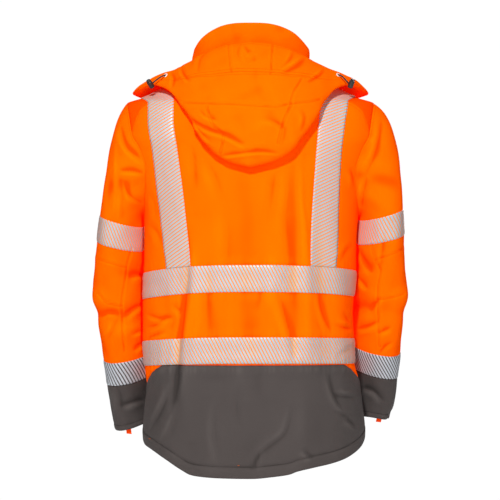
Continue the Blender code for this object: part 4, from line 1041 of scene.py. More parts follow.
@dataclass
class Groups:
    """Effects that several finishes share; lengths in metres."""

    slub_scale: tuple[float, float, float] = (160.0, 900.0, 1.0)
    patch_scale: float = 9.0
    # fold depth that gives full painted shade or highlight, and the share of painted highlight on
    # crests
    full_depth: float = 1.3
    crest_share: float = 0.7
    patch_share: float = 0.1
    slant: float = math.radians(27)
    bar_edge: float = 0.07
    seam_in: float = 0.0022
    thread_edge: tuple[float, float] = (-0.0006, -0.00025)
    stitch_pitch: float = 0.0028
    stitch_share: float = 0.72

    def __post_init__(self) -> None:
        """Build every group once."""
        self.weave = self.make_weave()
        # painted shade in the folds' hollows and painted highlight on their crests
        self.depth = self.make_depth()
        self.bars = self.make_bars()

    def make_weave(self) -> bpy.types.NodeTree:
        """Plain weave on the piece's own UV map: thread height and a slight slub."""
        outputs = [("Height", "Float"), ("Slub", "Float")]
        tree, given, made = new_group("cloth_weave", [("Pitch", "Float")], outputs)
        uv = tree.place("UV")
        parts = tree.fill(tree.node("SeparateXYZ"), {0: uv}).outputs
        turns = [tree.sum("DIVIDE", parts[i], given["Pitch"]) for i in (0, 1)]
        waves = [tree.sum("SINE", tree.sum("MULTIPLY", turn, math.tau)) for turn in turns]
        threads = tree.sum("MULTIPLY", *waves)
        stretch = tree.fill(tree.node("Mapping"), {"Vector": uv, "Scale": self.slub_scale})
        slub = tree.noise(1.0, 2.0, stretch.outputs[0])
        height = tree.sum("MULTIPLY_ADD", threads, 0.5, 0.5)
        tree.fill(made, {"Height": height, "Slub": slub})
        return tree.tree

    def make_depth(self) -> bpy.types.NodeTree:
        """Colour with painted shade that darkens it in hollows and a painted highlight that
        lightens it on crests, with soft patches.
        """
        colours = ("Colour", "Hollow Colour", "Crest Colour")
        outputs = [("Colour", "Color"), ("Patches", "Float")]
        tree, given, made = new_group("fold_depth", [(c, "Color") for c in colours], outputs)
        hollow = tree.node("Attribute", attribute_name="hollow").outputs["Fac"]
        patches = tree.noise(self.patch_scale, 3.0, tree.place("Object"))
        deep = tree.step(hollow, 0.0, self.full_depth)
        high = tree.step(tree.sum("MULTIPLY", hollow, -1.0), 0.0, self.full_depth)
        low = tree.blend(deep, given["Colour"], given["Hollow Colour"])
        crest = tree.sum("MULTIPLY", high, self.crest_share)
        both = tree.blend(crest, low, given["Crest Colour"])
        shade = tree.sum("MULTIPLY", tree.step(patches, 0.3, 0.7), self.patch_share)
        tinted = tree.blend(shade, both, given["Hollow Colour"])
        tree.fill(made, {"Colour": tinted, "Patches": patches})
        return tree.tree

    def make_bars(self) -> bpy.types.NodeTree:
        """Slanting bars of reflective tape, with a plain sewn margin along both edges."""
        inputs = [("Pitch", "Float"), ("Share", "Float"), ("Width", "Float")]
        outputs = [("Bars", "Float"), ("Stitches", "Float")]
        tree, given, made = new_group("tape_bars", inputs, outputs)
        u, v, _ = tree.fill(tree.node("SeparateXYZ"), {0: tree.place("UV")}).outputs
        up = tree.sum("MULTIPLY", v, math.sin(self.slant))
        along = tree.sum("MULTIPLY_ADD", u, math.cos(self.slant), up)
        phase = tree.sum("FRACT", tree.sum("DIVIDE", along, given["Pitch"]))
        rise = tree.step(phase, 0.0, self.bar_edge)
        left = tree.sum("MULTIPLY", tree.sum("SUBTRACT", phase, given["Share"]), -1.0)
        bars = tree.sum("MULTIPLY", rise, tree.step(left, 0.0, self.bar_edge))
        from_edge = tree.sum("MINIMUM", v, tree.sum("SUBTRACT", given["Width"], v))
        band = tree.sum("ABSOLUTE", tree.sum("SUBTRACT", from_edge, self.seam_in))
        thread = tree.step(tree.sum("MULTIPLY", band, -1.0), *self.thread_edge)
        dash = tree.sum("FRACT", tree.sum("DIVIDE", u, self.stitch_pitch))
        shown = tree.sum("LESS_THAN", dash, self.stitch_share)
        tree.fill(made, {"Bars": bars, "Stitches": tree.sum("MULTIPLY", thread, shown)})
        return tree.tree


@dataclass(frozen=True)
class ClothFinish:
    """Woven shell cloth: colours with painted shade in creases and painted highlight on crests,
    weave and glow.
    """

    name: str
    slot: str
    colour: Colour
    # hollow: painted shade colour in creases, also the slub's darker tone; crest: painted highlight
    # colour on crests, also the sheen and specular tint
    hollow: Colour
    crest: Colour
    glow: Colour
    glow_strength: float
    roughness: float
    sheen: float = 0.0
    gloss: float = 0.0
    pitch: float = 0.0012
    slub_share: float = 0.1
    sheen_roughness: float = 0.45
    roughness_spread: float = 0.16
    bump: tuple[float, float] = (0.35, 0.0004)

    def make(self, groups: Groups) -> bpy.types.Material:
        """Build the material."""
        made, tree, shader = new_material(self.name)
        colours = {"Colour": self.colour, "Hollow Colour": self.hollow, "Crest Colour": self.crest}
        # painted shade in creases and painted highlight on crests
        depth = tree.group(groups.depth, {key: rgba(value) for key, value in colours.items()})
        weave = tree.group(groups.weave, {"Pitch": self.pitch})
        slub = tree.sum("MULTIPLY", tree.step(weave["Slub"], 0.35, 0.75), self.slub_share)
        smooth = self.roughness - self.roughness_spread / 2
        height = tree.sum("MULTIPLY_ADD", weave["Slub"], 0.8, weave["Height"])
        tree.fill(shader, {
            "Base Color": tree.blend(slub, depth["Colour"], rgba(self.hollow)),
            "Roughness": tree.sum("MULTIPLY_ADD", depth["Patches"], self.roughness_spread, smooth),
            "Sheen Weight": self.sheen,
            "Sheen Roughness": self.sheen_roughness,
            "Sheen Tint": rgba(self.crest),
            "Specular IOR Level": self.gloss,
            "Specular Tint": rgba(self.crest),
            "Emission Color": rgba(self.glow),
            "Emission Strength": self.glow_strength,
            "Normal": tree.bump(height, *self.bump),
        })
        return made


@dataclass(frozen=True)
class TapeFinish:
    """Segmented reflective tape: silver bars over the colour of the cloth under it, with a painted
    shade tint on the bars in creases.
    """

    name: str
    slot: str
    silver: Colour
    gap: Colour
    # painted shade: warm tint that the bars take in creases
    blush: Colour
    glow: Colour
    width: float = 0.05
    share: float = 0.7
    pitch: float = 0.00595
    thread: Colour = (0.42, 0.43, 0.45)
    thread_share: float = 0.55
    bar_roughness: float = -0.22
    gap_roughness: float = 0.66
    bar_metal: float = 0.12
    gloss: float = 0.2
    bead_scale: float = 2600.0
    bump: tuple[float, float] = (0.5, 0.0003)

    def make(self, groups: Groups) -> bpy.types.Material:
        """Build the material."""
        made, tree, shader = new_material(self.name)
        sizes = {"Pitch": self.pitch, "Share": self.share, "Width": self.width}
        bars, stitches = tree.group(groups.bars, sizes)
        # the bars take the painted shade tint in creases
        colours = {"Colour": self.silver, "Hollow Colour": self.blush, "Crest Colour": self.silver}
        depth = tree.group(groups.depth, {key: rgba(value) for key, value in colours.items()})
        colour = tree.blend(bars, rgba(self.gap), depth["Colour"])
        sewn = tree.sum("MULTIPLY", stitches, self.thread_share)
        beads = tree.noise(self.bead_scale, 1.0, tree.place("Object"))
        height = tree.sum("MULTIPLY_ADD", bars, 1.0, tree.sum("MULTIPLY", beads, 0.25))
        height = tree.sum("MULTIPLY_ADD", stitches, 0.9, height)
        tree.fill(shader, {
            "Base Color": tree.blend(sewn, colour, rgba(self.thread)),
            "Roughness": tree.sum("MULTIPLY_ADD", bars, self.bar_roughness, self.gap_roughness),
            "Metallic": tree.sum("MULTIPLY", bars, self.bar_metal),
            "Emission Color": tree.blend(bars, rgba(self.glow), rgba((0, 0, 0))),
            "Emission Strength": 1.0,
            "Specular IOR Level": self.gloss,
            "Normal": tree.bump(height, *self.bump),
        })
        return made


@dataclass(frozen=True)
class HardFinish:
    """Moulded plastic, thread, cord or metal with fine grain."""

    name: str
    slot: str
    colour: Colour
    worn: Colour
    roughness: float
    metallic: float = 0.0
    grain: float = 700.0
    gloss: float = 0.5
    patch_scale: float = 120.0
    roughness_spread: float = 0.2
    bump: tuple[float, float] = (0.3, 0.0002)

    def make(self, groups: Groups) -> bpy.types.Material:
        """Build the material."""
        made, tree, shader = new_material(self.name)
        where = tree.place("Object")
        grain = tree.noise(self.grain, 3.0, where)
        patches = tree.step(tree.noise(self.patch_scale, 2.0, where), 0.45, 0.8)
        smooth = self.roughness - self.roughness_spread / 2
        tree.fill(shader, {
            "Base Color": tree.blend(patches, rgba(self.colour), rgba(self.worn)),
            "Roughness": tree.sum("MULTIPLY_ADD", grain, self.roughness_spread, smooth),
            "Metallic": self.metallic,
            "Specular IOR Level": self.gloss,
            "Normal": tree.bump(grain, *self.bump),
        })
        return made


Finish = ClothFinish | TapeFinish | HardFinish

# Second and third colours of a cloth: painted shade for creases and painted highlight for crests.
ORANGE = ClothFinish(
    "orange_shell", "orange_cloth", (0.8, 0.142, 0.0), (0.74, 0.055, 0.0), (0.84, 0.19, 0.0),
    glow=(1.0, 0.004, 0.0), glow_strength=0.36, roughness=0.75,
)
DEEP_ORANGE = ClothFinish(
    "shoulder_shell", "shoulder_cloth", (0.8, 0.083, 0.0), (0.74, 0.04, 0.0), (0.84, 0.1, 0.0),
    glow=(1.0, 0.003, 0.0), glow_strength=0.34, roughness=0.75,
)
GREY = ClothFinish(
    "grey_shell", "grey_cloth", (0.071, 0.06, 0.057), (0.038, 0.032, 0.03), (0.115, 0.099, 0.093),
    glow=(0.0, 0.0, 0.0), glow_strength=0.0, roughness=0.62, sheen=0.15, gloss=0.5,
)
WEBBING = ClothFinish(
    "orange_webbing", "orange_cloth", (1.0, 0.11, 0.01), (0.9, 0.06, 0.0), (1.0, 0.14, 0.01),
    glow=(1.0, 0.01, 0.0), glow_strength=0.3, roughness=0.7,
)
# A tape's tint for creases is painted shade.
TAPE = TapeFinish(
    "tape_on_orange", "reflective_tape", silver=(0.41, 0.48, 0.54), gap=(0.8, 0.25, 0.03),
    blush=(0.56, 0.42, 0.31), glow=(0.06, 0.002, 0.0),
)
DARK_TAPE = TapeFinish(
    "tape_on_grey", "reflective_tape", silver=(0.53, 0.56, 0.61), gap=(0.07, 0.06, 0.055),
    blush=(0.40, 0.36, 0.34), glow=(0.0, 0.0, 0.0),
)
THREAD = HardFinish(
    "orange_thread", "orange_cloth", (0.92, 0.1, 0.0), (0.9, 0.07, 0.0), 0.8, gloss=0.0
)
GREY_THREAD = HardFinish(
    "grey_thread", "grey_cloth", (0.018, 0.015, 0.014), (0.03, 0.026, 0.024), 0.85, gloss=0.1
)
TACK_THREAD = HardFinish(
    "tack_thread", "orange_cloth", (0.42, 0.1, 0.03), (0.34, 0.08, 0.03), 0.8, gloss=0.0
)
PLASTIC = HardFinish(
    "dark_plastic", "zip_plastic", (0.022, 0.018, 0.016), (0.05, 0.042, 0.038), 0.42
)
CORD = HardFinish(
    "elastic_braid", "elastic_cord", (0.035, 0.025, 0.023), (0.06, 0.045, 0.04), 0.85, grain=1400.0
)
DARK_METAL = HardFinish(
    "enamelled_metal", "zip_metal", (0.05, 0.045, 0.042), (0.16, 0.15, 0.14), 0.35, metallic=0.6
)
RING_ENAMEL = HardFinish(
    "ring_enamel", "lock_plastic", (0.8, 0.8, 0.8), (0.7, 0.7, 0.7), 0.4
)
ZIP_CLOTH = HardFinish(
    "zip_tape", "zip_plastic", (0.03, 0.026, 0.024), (0.05, 0.04, 0.036), 0.85, grain=1500.0
)


# ---------------------------------------------------------------- making pieces


def linked(name: str, data: bpy.types.ID) -> bpy.types.Object:
    """New object in the scene."""
    item = bpy.data.objects.new(name, data)
    bpy.context.scene.collection.objects.link(item)
    return item


def mesh_from(shape: bmesh.types.BMesh, name: str) -> bpy.types.Mesh:
    """Mesh of a finished shape, which is let go."""
    data = bpy.data.meshes.new(name)
    shape.to_mesh(data)
    shape.free()
    return data


def tube(name: str, radius: float, roundness: int, runs: Sequence[Array]) -> bpy.types.Curve:
    """Round thread or cord along runs of points.

    Args:
        name: The curve's name.
        radius: Half its thickness.
        roundness: How finely its section is rounded; 0 for four sides.
        runs: Points of each run.

    Returns:
        The curve.
    """
    curve = bpy.data.curves.new(name, "CURVE")
    curve.dimensions = "3D"
    curve.bevel_depth = radius * MM
    curve.bevel_resolution = roundness
    for run in runs:
        spline = curve.splines.new("POLY")
        spline.points.add(len(run) - 1)
        flat = np.concatenate([run * MM, np.ones((len(run), 1))], axis=1)
        spline.points.foreach_set("co", flat.ravel())
    return curve

class Workshop:
    """Holds the finishes and turns grids and lines into ridden pieces."""

    def __init__(self) -> None:
        """Build the node groups; materials are made when first asked for."""
        self.groups = Groups()
        self.made: dict[str, bpy.types.Material] = {}

    def finish(self, finish: Finish) -> bpy.types.Material:
        """Material of a finish, built once."""
        if finish.name not in self.made:
            self.made[finish.name] = finish.make(self.groups)
        return self.made[finish.name]

    def add(self, name: str, data: bpy.types.ID, finish: Finish) -> bpy.types.Object:
        """New object on the jacket with its finish.

        Args:
            name: The piece's name.
            data: Its mesh or curve.
            finish: What it is made of.

        Returns:
            The object.
        """
        data.materials.append(self.finish(finish))
        item = linked(name, data)
        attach(item, "jacket")
        LOG.info("made %s", name)
        return item

    def dress(self, node: str, finish: Finish) -> None:
        """Give a kept node its finish."""
        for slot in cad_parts[node].material_slots:
            slot.material = self.finish(finish)
        LOG.info("dressed %s", node)


def grid_normals(points: Array, closed: bool) -> Array:
    """Directions square to a grid: columns crossed with rows."""
    if closed:
        wide = np.concatenate([points[:, -2:-1], points, points[:, 1:2]], axis=1)
        across = np.gradient(wide, axis=1)[:, 1:-1]
    else:
        across = np.gradient(points, axis=1)
    return unit(np.cross(across, np.gradient(points, axis=0)))


def run_lengths(points: Array, axis: int) -> Array:
    """Length along each grid line from its start."""
    steps = np.linalg.norm(np.diff(points, axis=axis), axis=-1)
    zero = np.zeros_like(np.take(steps, [0], axis=axis))
    return np.concatenate([zero, np.cumsum(steps, axis=axis)], axis=axis)


class Cloth:
    """A piece of cloth on a grid of points, with its thickness, the folds' depth that paints shade
    and highlight into its colour, and its cut size.
    """

    roll_width = 1.8
    full_depth = 1.9
    blur_rounds = 60
    weld = 2e-5

    def __init__(
        self, name: str, points: Array, relief: Array, wall: float,
        closed: bool = False, roll: float = 0.9,
    ) -> None:
        """Roll the edges in, and measure the cloth.

        Args:
            name: The piece's name, and the node it stands for.
            points: Rows of points, bottom row first, columns the way the turn grows.
            relief: Height of the folds at each point.
            wall: Thickness of the cloth.
            closed: Whether the last column meets the first.
            roll: Depth by which the free edges dip.
        """
        self.name = name
        self.wall = wall
        self.closed = closed
        normals = grid_normals(points, closed)
        across = run_lengths(points, 1)
        up = run_lengths(points, 0)
        edge = np.minimum(up, up[-1:] - up)
        if not closed:
            edge = np.minimum(edge, np.minimum(across, across[:, -1:] - across))
        self.points = points - normals * (roll * bell(edge / self.roll_width))[..., None]
        self.normals = grid_normals(self.points, closed)
        # the folds' depth sets painted shade where above 0 and painted highlight where below 0
        depth = softened(relief, self.blur_rounds) - relief
        self.hollow = np.clip(depth / self.full_depth, -1, 1)
        middle = across[:, across.shape[1] // 2][:, None]
        self.uv = np.stack([across - middle, up], axis=-1) * MM
        self.width = float(across[:, -1].max()) * MM
        self.length = float(up[-1].max()) * MM

    def area(self) -> float:
        """Area of one layer of the cloth, in square metres."""
        p = self.points
        crossed = np.cross(p[1:, 1:] - p[:-1, :-1], p[1:, :-1] - p[:-1, 1:])
        return float(np.linalg.norm(crossed, axis=-1).sum() / 2) * MM * MM

    def mesh(self) -> bpy.types.Mesh:
        """Mesh of one layer, with its UV map and the depth attribute that paints shade in hollows
        and highlight on crests.
        """
        rows, columns = self.points.shape[:2]
        shape = bmesh.new()
        bmesh.ops.create_grid(shape, x_segments=columns - 1, y_segments=rows - 1, size=1.0)
        data = mesh_from(shape, self.name)
        data.vertices.foreach_set("co", (self.points * MM).ravel())
        corner = np.empty(len(data.loops), int)
        data.loops.foreach_get("vertex_index", corner)
        layer = data.uv_layers.new(name="cloth")
        layer.data.foreach_set("uv", self.uv.reshape(-1, 2)[corner].ravel())
        # depth attribute that paints shade and highlight in the material
        mark = data.attributes.new("hollow", "FLOAT", "POINT")
        mark.data.foreach_set("value", self.hollow.ravel())
        if self.closed:
            shape = bmesh.new()
            shape.from_mesh(data)
            bmesh.ops.remove_doubles(shape, verts=shape.verts[:], dist=self.weld)
            shape.to_mesh(data)
            shape.free()
        data.update()
        data.shade_smooth()
        return data

    def thicken(self, item: bpy.types.Object, offset: float) -> None:
        """Give the cloth its thickness: offset -1 inwards, 0 both ways."""
        thick = item.modifiers.new("wall", "SOLIDIFY")
        thick.thickness = self.wall * MM
        thick.offset = offset
        thick.use_rim = True

    def sew(self, shop: Workshop, finish: Finish, held: str, rests_on: str) -> None:
        """Make the piece, give it its thickness and log its cut size.

        Args:
            shop: Where the piece is made.
            finish: The cloth's finish.
            rests_on: What it lies on or hangs from; not used.
        """
        item = shop.add("cloth_" + self.name, self.mesh(), finish)
        self.thicken(item, -1.0)
        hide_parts(self.name)
        flat = (round(self.width, 3), round(self.length, 3))
        area = min(round(self.area(), 4), flat[0] * flat[1])
        LOG.info("%s is cut %.3f x %.3f m, %.4f sq m", self.name, *flat, area)


class Threads:
    """Rows of lockstitch, gathered and made as one piece."""

    stitch = 2.9
    radius = 0.33
    corners = (0.0, 0.14, 0.72, 0.86)
    lifts = (-0.5, 0.28, 0.28, -0.5)

    def __init__(self, name: str) -> None:
        """Start with no rows."""
        self.name = name
        self.rows: list[Array] = []

    def row(self, points: Array, normals: Array) -> None:
        """Add a row of stitches along surface points."""
        along = path_lengths(points)
        count = max(2, round(along[-1] / self.stitch))
        size = along[-1] / count
        at = [i * along[-1] / count + part * size for i in range(count) for part in self.corners]
        lift = np.tile(self.lifts, count)
        line = np.stack([np.interp(at, along, points[:, i]) for i in range(3)], axis=-1)
        way = np.stack([np.interp(at, along, normals[:, i]) for i in range(3)], axis=-1)
        self.rows.append(line + unit(way) * lift[:, None])

    def make(self, shop: Workshop, finish: HardFinish) -> None:
        """Turn the rows into one thin tube mesh."""
        holder = linked(self.name + "_line", tube(self.name + "_line", self.radius, 0, self.rows))
        shown = holder.evaluated_get(bpy.context.evaluated_depsgraph_get())
        data = bpy.data.meshes.new_from_object(shown)
        data.name = self.name
        bpy.data.objects.remove(holder, do_unlink=True)
        data.shade_smooth()
        shop.add(self.name, data, finish)


class Probe:
    """Finds points on made cloth from where they show, seen square on."""

    start_y = 900.0

    def __init__(self, pieces: Sequence[Cloth]) -> None:
        """Keep a search tree of the pieces' grids."""
        points: list[Array] = []
        faces: list[tuple[int, int, int, int]] = []
        start = 0
        for piece in pieces:
            rows, columns = piece.points.shape[:2]
            index = np.arange(rows * columns).reshape(rows, columns) + start
            corners = [index[:-1, :-1], index[:-1, 1:], index[1:, 1:], index[1:, :-1]]
            faces += np.stack(corners, axis=-1).reshape(-1, 4).tolist()
            points.append(piece.points.reshape(-1, 3))
            start += rows * columns
        self.tree = BVHTree.FromPolygons(np.concatenate(points).tolist(), faces)

    def find(self, line: Array) -> tuple[Array, Array]:
        """Points on the back and their outward directions, under a line of (x, z) points."""
        points, normals = [], []
        for x, z in line:
            hit, way, _, _ = self.tree.ray_cast(Vector((x, self.start_y, z)), Vector((0, -1, 0)))
            if hit is not None:
                points.append(hit[:])
                normals.append((-way if way.y < 0 else way)[:])
        return np.array(points), np.array(normals)


# ---------------------------------------------------------------- studio


class Lamp(NamedTuple):
    """Square soft lamp aimed at the jacket's chest."""

    name: str
    place: Point
    size: float
    power: float


LAMPS = (
    Lamp("key", (0.7, 4.9, 2.9), 0.35, 345.0),
    Lamp("fill", (-1.6, 6.0, 0.5), 2.6, 48.0),
    Lamp("front", (-1.2, -5.2, 1.0), 2.4, 230.0),
)


@dataclass
class Studio:
    """Pale floor, soft lights and the camera, behind the wearer; sizes in metres."""

    distance: float = 7.5
    eye_height: float = -0.3533
    view_width: float = 0.96
    subject_y: float = 0.075
    sensor: float = 36.0
    far_clip: float = 60.0
    floor_z: float = -1.2
    floor_radius: float = 4.5
    floor_grey: float = 0.82
    sky_light: float = 0.17
    backdrop: float = 1.02
    aim_z: float = -0.35

    def build(self) -> None:
        """Set up camera, floor, sky and lamps."""
        self.camera()
        self.floor()
        self.sky()
        for lamp in LAMPS:
            self.light(lamp)

    def camera(self) -> None:
        """Long lens, level with the jacket's middle."""
        data = bpy.data.cameras.new("camera")
        data.sensor_width = self.sensor
        data.lens = self.sensor * (self.distance - self.subject_y) / self.view_width
        data.clip_end = self.far_clip
        item = linked("camera", data)
        item.location = (0.0, self.distance, self.eye_height)
        item.rotation_euler = (math.pi / 2, 0.0, math.pi)
        bpy.context.scene.camera = item

    def floor(self) -> None:
        """Round pale floor under the jacket."""
        shape = bmesh.new()
        bmesh.ops.create_circle(shape, cap_ends=True, radius=self.floor_radius, segments=96)
        bmesh.ops.translate(shape, verts=shape.verts[:], vec=(0, 0, self.floor_z))
        data = mesh_from(shape, "floor")
        made, tree, shader = new_material("pale_floor")
        tree.fill(shader, {"Base Color": rgba((self.floor_grey,) * 3), "Roughness": 0.9})
        data.materials.append(made)
        linked("floor", data)

    def sky(self) -> None:
        """White surround that lights the jacket softly."""
        world = bpy.data.worlds.new("surround")
        world.use_nodes = True
        tree = Tree(world.node_tree)
        seen = tree.node("LightPath").outputs["Is Camera Ray"]
        strength = tree.sum("MULTIPLY_ADD", seen, self.backdrop - self.sky_light, self.sky_light)
        shade = world.node_tree.nodes["Background"]
        tree.fill(shade, {"Color": rgba((1, 1, 1)), "Strength": strength})
        bpy.context.scene.world = world
        bpy.context.scene.view_settings.view_transform = "Standard"

    def light(self, lamp: Lamp) -> None:
        """Hang a lamp."""
        data = bpy.data.lights.new(lamp.name, "AREA")
        data.size = lamp.size
        data.energy = lamp.power
        item = linked(lamp.name, data)
        item.location = lamp.place
        way = Vector((0, 0, self.aim_z)) - Vector(lamp.place)
        item.rotation_euler = way.to_track_quat("-Z", "Y").to_euler()


# ---------------------------------------------------------------- body


@dataclass
class BodyShell:
    """Orange back and fronts, grey lower panels and shoulder yokes."""

    torso: Torso
    wall: float = 1.6
    allowance_depth: float = 1.9
    back_width: float = 600.0
    front_width: float = 300.0
    front_spacing: float = 4.4
    upper_height: float = 290.0
    lower_height: float = 320.0
    grey_height: float = 205.0
    grey_spacing: float = 2.8
    yoke_width: float = 125.0
    yoke_length: float = 130.0
    run_steps: int = 60
    straight_columns: float = 12.0

    def coons(
        self, bottom: Array, top: Array, first: Array, last: Array, s: Array, t: Array
    ) -> Array:
        """Places inside four edges, blended from them.

        Args:
            bottom: Places along the lower edge.
            top: Places along the upper edge.
            first: Places up the first side.
            last: Places up the last side.
            s: Fractions along the lower edge.
            t: Fractions up the sides.

        Returns:
            Grid of places, rows from the lower edge to the upper.
        """
        s = s[None, :, None]
        t = t[:, None, None]
        ruled = bottom[None] * (1 - t) + top[None] * t
        swept = first[:, None] * (1 - s) + last[:, None] * s
        corners = (bottom[:1] * (1 - s) + bottom[-1:] * s) * (1 - t)
        corners = corners + (top[:1] * (1 - s) + top[-1:] * s) * t
        return ruled + swept - corners

    def spread(self, runs: Sequence[Array], count: Array) -> Array:
        """Places at fractions of the length along joined runs of places."""
        places = np.concatenate([runs[0]] + [run[1:] for run in runs[1:]])
        along = path_lengths(self.torso.shell(places[:, 0], places[:, 1]))
        at = count * along[-1]
        return np.stack([np.interp(at, along, places[:, i]) for i in range(2)], axis=-1)

    def armhole_run(self, side: int, face: Face, t: Array) -> Array:
        """Places up the armhole from the armpit to the yoke's tip."""
        turn = face.value * (180 - (180 - self.torso.tip_turn) * t)
        angle, z = self.torso.armhole_place(turn, side)
        if side < 0 and face is Face.FRONT:
            angle = past_half(angle)
        return paired(np.where(t == 0, 0.0 if side > 0 else math.pi, angle), z)

    def seam_run(self, side: int, face: Face) -> Array:
        """Places along the yoke seam from the neck corner to the armhole."""
        plan = self.torso.seam_plan(face, side, np.linspace(0, 1, self.run_steps))
        angle, z = self.torso.on_shoulder(plan)
        if side < 0 and face is Face.FRONT:
            angle = past_half(angle)
        return paired(angle, z)

    def neck_run(self, first: float, last: float, face: Face, side: int = 0) -> Array:
        """Places along the neck seam between two turns in degrees."""
        angle, z = self.torso.neck_place(np.linspace(first, last, self.run_steps))
        if face is Face.FRONT:
            x = side * np.maximum(self.torso.shell(angle, z)[:, 0] * side, self.torso.zip_edge)
            angle = self.torso.place_at_x(x, z, face) + (math.tau if side < 0 else 0.0)
        return paired(angle, z)

    def zip_turn(self, side: int, z: Array) -> Array:
        """Turn of a front's zip edge at heights."""
        turn = self.torso.place_at_x(np.full(z.shape, side * self.torso.zip_edge), z, Face.FRONT)
        return turn if side > 0 else turn + math.tau

    def lower_places(self, top: Ring, bottom: Ring, angles: Array, t: Array) -> Array:
        """Places between two lines round the body.

        Args:
            top: The upper line.
            bottom: The lower line.
            angles: Turns of the columns.
            t: Fractions up from the lower line.

        Returns:
            Grid of places, lower line first.
        """
        torso = self.torso
        high = torso.ring_height(top, angles)
        low = hem_height(torso, angles) if bottom is HEM else torso.ring_height(bottom, angles)
        return paired(angles, low[None] + (high - low)[None] * t[:, None])

    def column_angles(self, side: int, face: Face) -> Array:
        """Turns of a panel's columns at the armpit, rising."""
        if face is Face.BACK:
            return math.pi * graded(self.back_width, BACK_SPACING)
        edge = float(self.zip_turn(side, np.array(ARMPIT_Z)))
        ends = (edge, 0.0) if side > 0 else (math.pi, edge)
        return mix(*ends, graded(self.front_width, self.front_spacing))

    def fix_front(self, places: Array, side: int) -> Array:
        """Front places with the zip edge kept straight."""
        column = 0 if side > 0 else -1
        shift = self.zip_turn(side, places[:, column, 1]) - places[:, column, 0]
        fade = np.clip(1 - np.arange(places.shape[1]) / self.straight_columns, 0, 1)
        places[..., 0] += shift[:, None] * (fade if side > 0 else fade[::-1])[None]
        return places

    def upper_places(self, side: int, face: Face, angles: Array, t: Array) -> Array:
        """Places from the armpit to the yoke seams and the neck.

        Args:
            side: 1 for the left front, -1 for the right.
            face: The back or a front.
            angles: Turns of the columns at the armpit.
            t: Fractions up from the armpit.

        Returns:
            Grid of places, armpit row first.
        """
        count = (angles - angles[0]) / (angles[-1] - angles[0])
        if face is Face.BACK:
            neck = self.neck_run(SHOULDER_TURN, 180 - SHOULDER_TURN, face)
            runs = [self.seam_run(1, face)[::-1], neck, self.seam_run(-1, face)]
            first, last = (self.armhole_run(hand, face, t) for hand in (1, -1))
        else:
            z = mix(ARMPIT_Z, self.torso.neck_side_z - self.torso.neck_front_drop, t)
            edge, arm = paired(self.zip_turn(side, z), z), self.armhole_run(side, face, t)
            if side > 0:
                runs = [self.neck_run(-90, -SHOULDER_TURN, face, 1), self.seam_run(1, face)]
                first, last = edge, arm
            else:
                neck = self.neck_run(SHOULDER_TURN - 180, -90, face, -1)
                runs = [self.seam_run(-1, face)[::-1], neck]
                first, last = arm, edge
        bottom = paired(angles, ARMPIT_Z)
        return self.coons(bottom, self.spread(runs, count), first, last, count, t)

    def over_shoulder(
        self, side: int, s: dict[Face, Array], seams: dict[Face, Array], rows: Array
    ) -> Array:
        """Places over the shoulder between the two yoke seams.

        Args:
            side: 1 for the left shoulder, -1 for the right.
            s: Fractions along the back seam and the front seam, one a column.
            seams: Plan points on the two seams.
            rows: Fractions from the front seam to the back seam.

        Returns:
            Grid of places, columns in the way the turn grows.
        """
        torso = self.torso
        ends = {face: torso.seam_plan(face, side, np.array([0.0, 1.0])) for face in Face}
        grid = []
        for t in 1 - rows:
            neck_turn = mix(torso.corner_turn, -torso.corner_turn, t)
            neck_turn = neck_turn if side > 0 else 180 - neck_turn
            tip_turn = np.array(mix(torso.tip_turn, -torso.tip_turn, t))
            inner = torso.plan(torso.neck_place(np.array(neck_turn)))
            outer = torso.plan(torso.armhole_place(tip_turn, side))
            part = mix(s[Face.BACK], s[Face.FRONT], t)[:, None]
            across = mix(inner, outer, part)
            along = mix(seams[Face.BACK], seams[Face.FRONT], t)
            first, last = (mix(ends[face][0], ends[face][1], part) for face in Face)
            grid.append(across + along - mix(first, last, t))
        plan = np.array(grid)
        if side > 0:
            plan = plan[:, ::-1]
        angle, z = torso.on_shoulder(plan)
        return paired(angle if side > 0 else past_half(angle), z)

    def yoke(self, side: Side) -> Cloth:
        """Shoulder patch with its columns across the turn, and an allowance under both seams."""
        s = graded(self.yoke_width)
        seams = {face: self.torso.seam_plan(face, side.value, s) for face in Face}
        rows = graded(self.yoke_length)
        grid = self.over_shoulder(side.value, dict.fromkeys(Face, s), seams, rows)
        points, relief = self.torso.folded(grid.transpose(1, 0, 2))
        inward = grid_normals(points, False)[:, [0, -1]] * self.allowance_depth
        first = points[:, :1] + unit(points[:, :1] - points[:, 2:3]) * ALLOWANCE
        last = points[:, -1:] + unit(points[:, -1:] - points[:, -3:-2]) * ALLOWANCE
        edges = first - inward[:, :1], last - inward[:, 1:]
        points = np.concatenate([edges[0], points, edges[1]], axis=1)
        relief = np.concatenate([relief[:, :1], relief, relief[:, -1:]], axis=1)
        return Cloth("yoke_" + side.word, points, relief, self.wall)

    def panels(self) -> dict[str, Cloth]:
        """Back and fronts, each with the grey panel below it."""
        made: dict[str, Cloth] = {}
        upper = graded(self.upper_height, BACK_SPACING)
        lower = graded(self.lower_height, BACK_SPACING)
        grey = graded(self.grey_height, self.grey_spacing)
        jobs = [("back", "back_lower", 1, Face.BACK)]
        jobs += [(f"front_{s.word}", f"front_lower_{s.word}", s.value, Face.FRONT) for s in Side]
        for name, lower_name, side, face in jobs:
            angles = self.column_angles(side, face)
            below = self.lower_places(ARMPIT, GREY_SEAM, angles, lower)
            above = self.upper_places(side, face, angles, upper)
            places = np.concatenate([below[:-3], above[3:]])
            hem = self.lower_places(GREY_SEAM, HEM, angles, grey)
            for key, grid in ((name, places), (lower_name, hem)):
                grid = self.fix_front(grid, side) if face is Face.FRONT else grid
                made[key] = Cloth(key, *self.torso.folded(grid), self.wall)
        return made

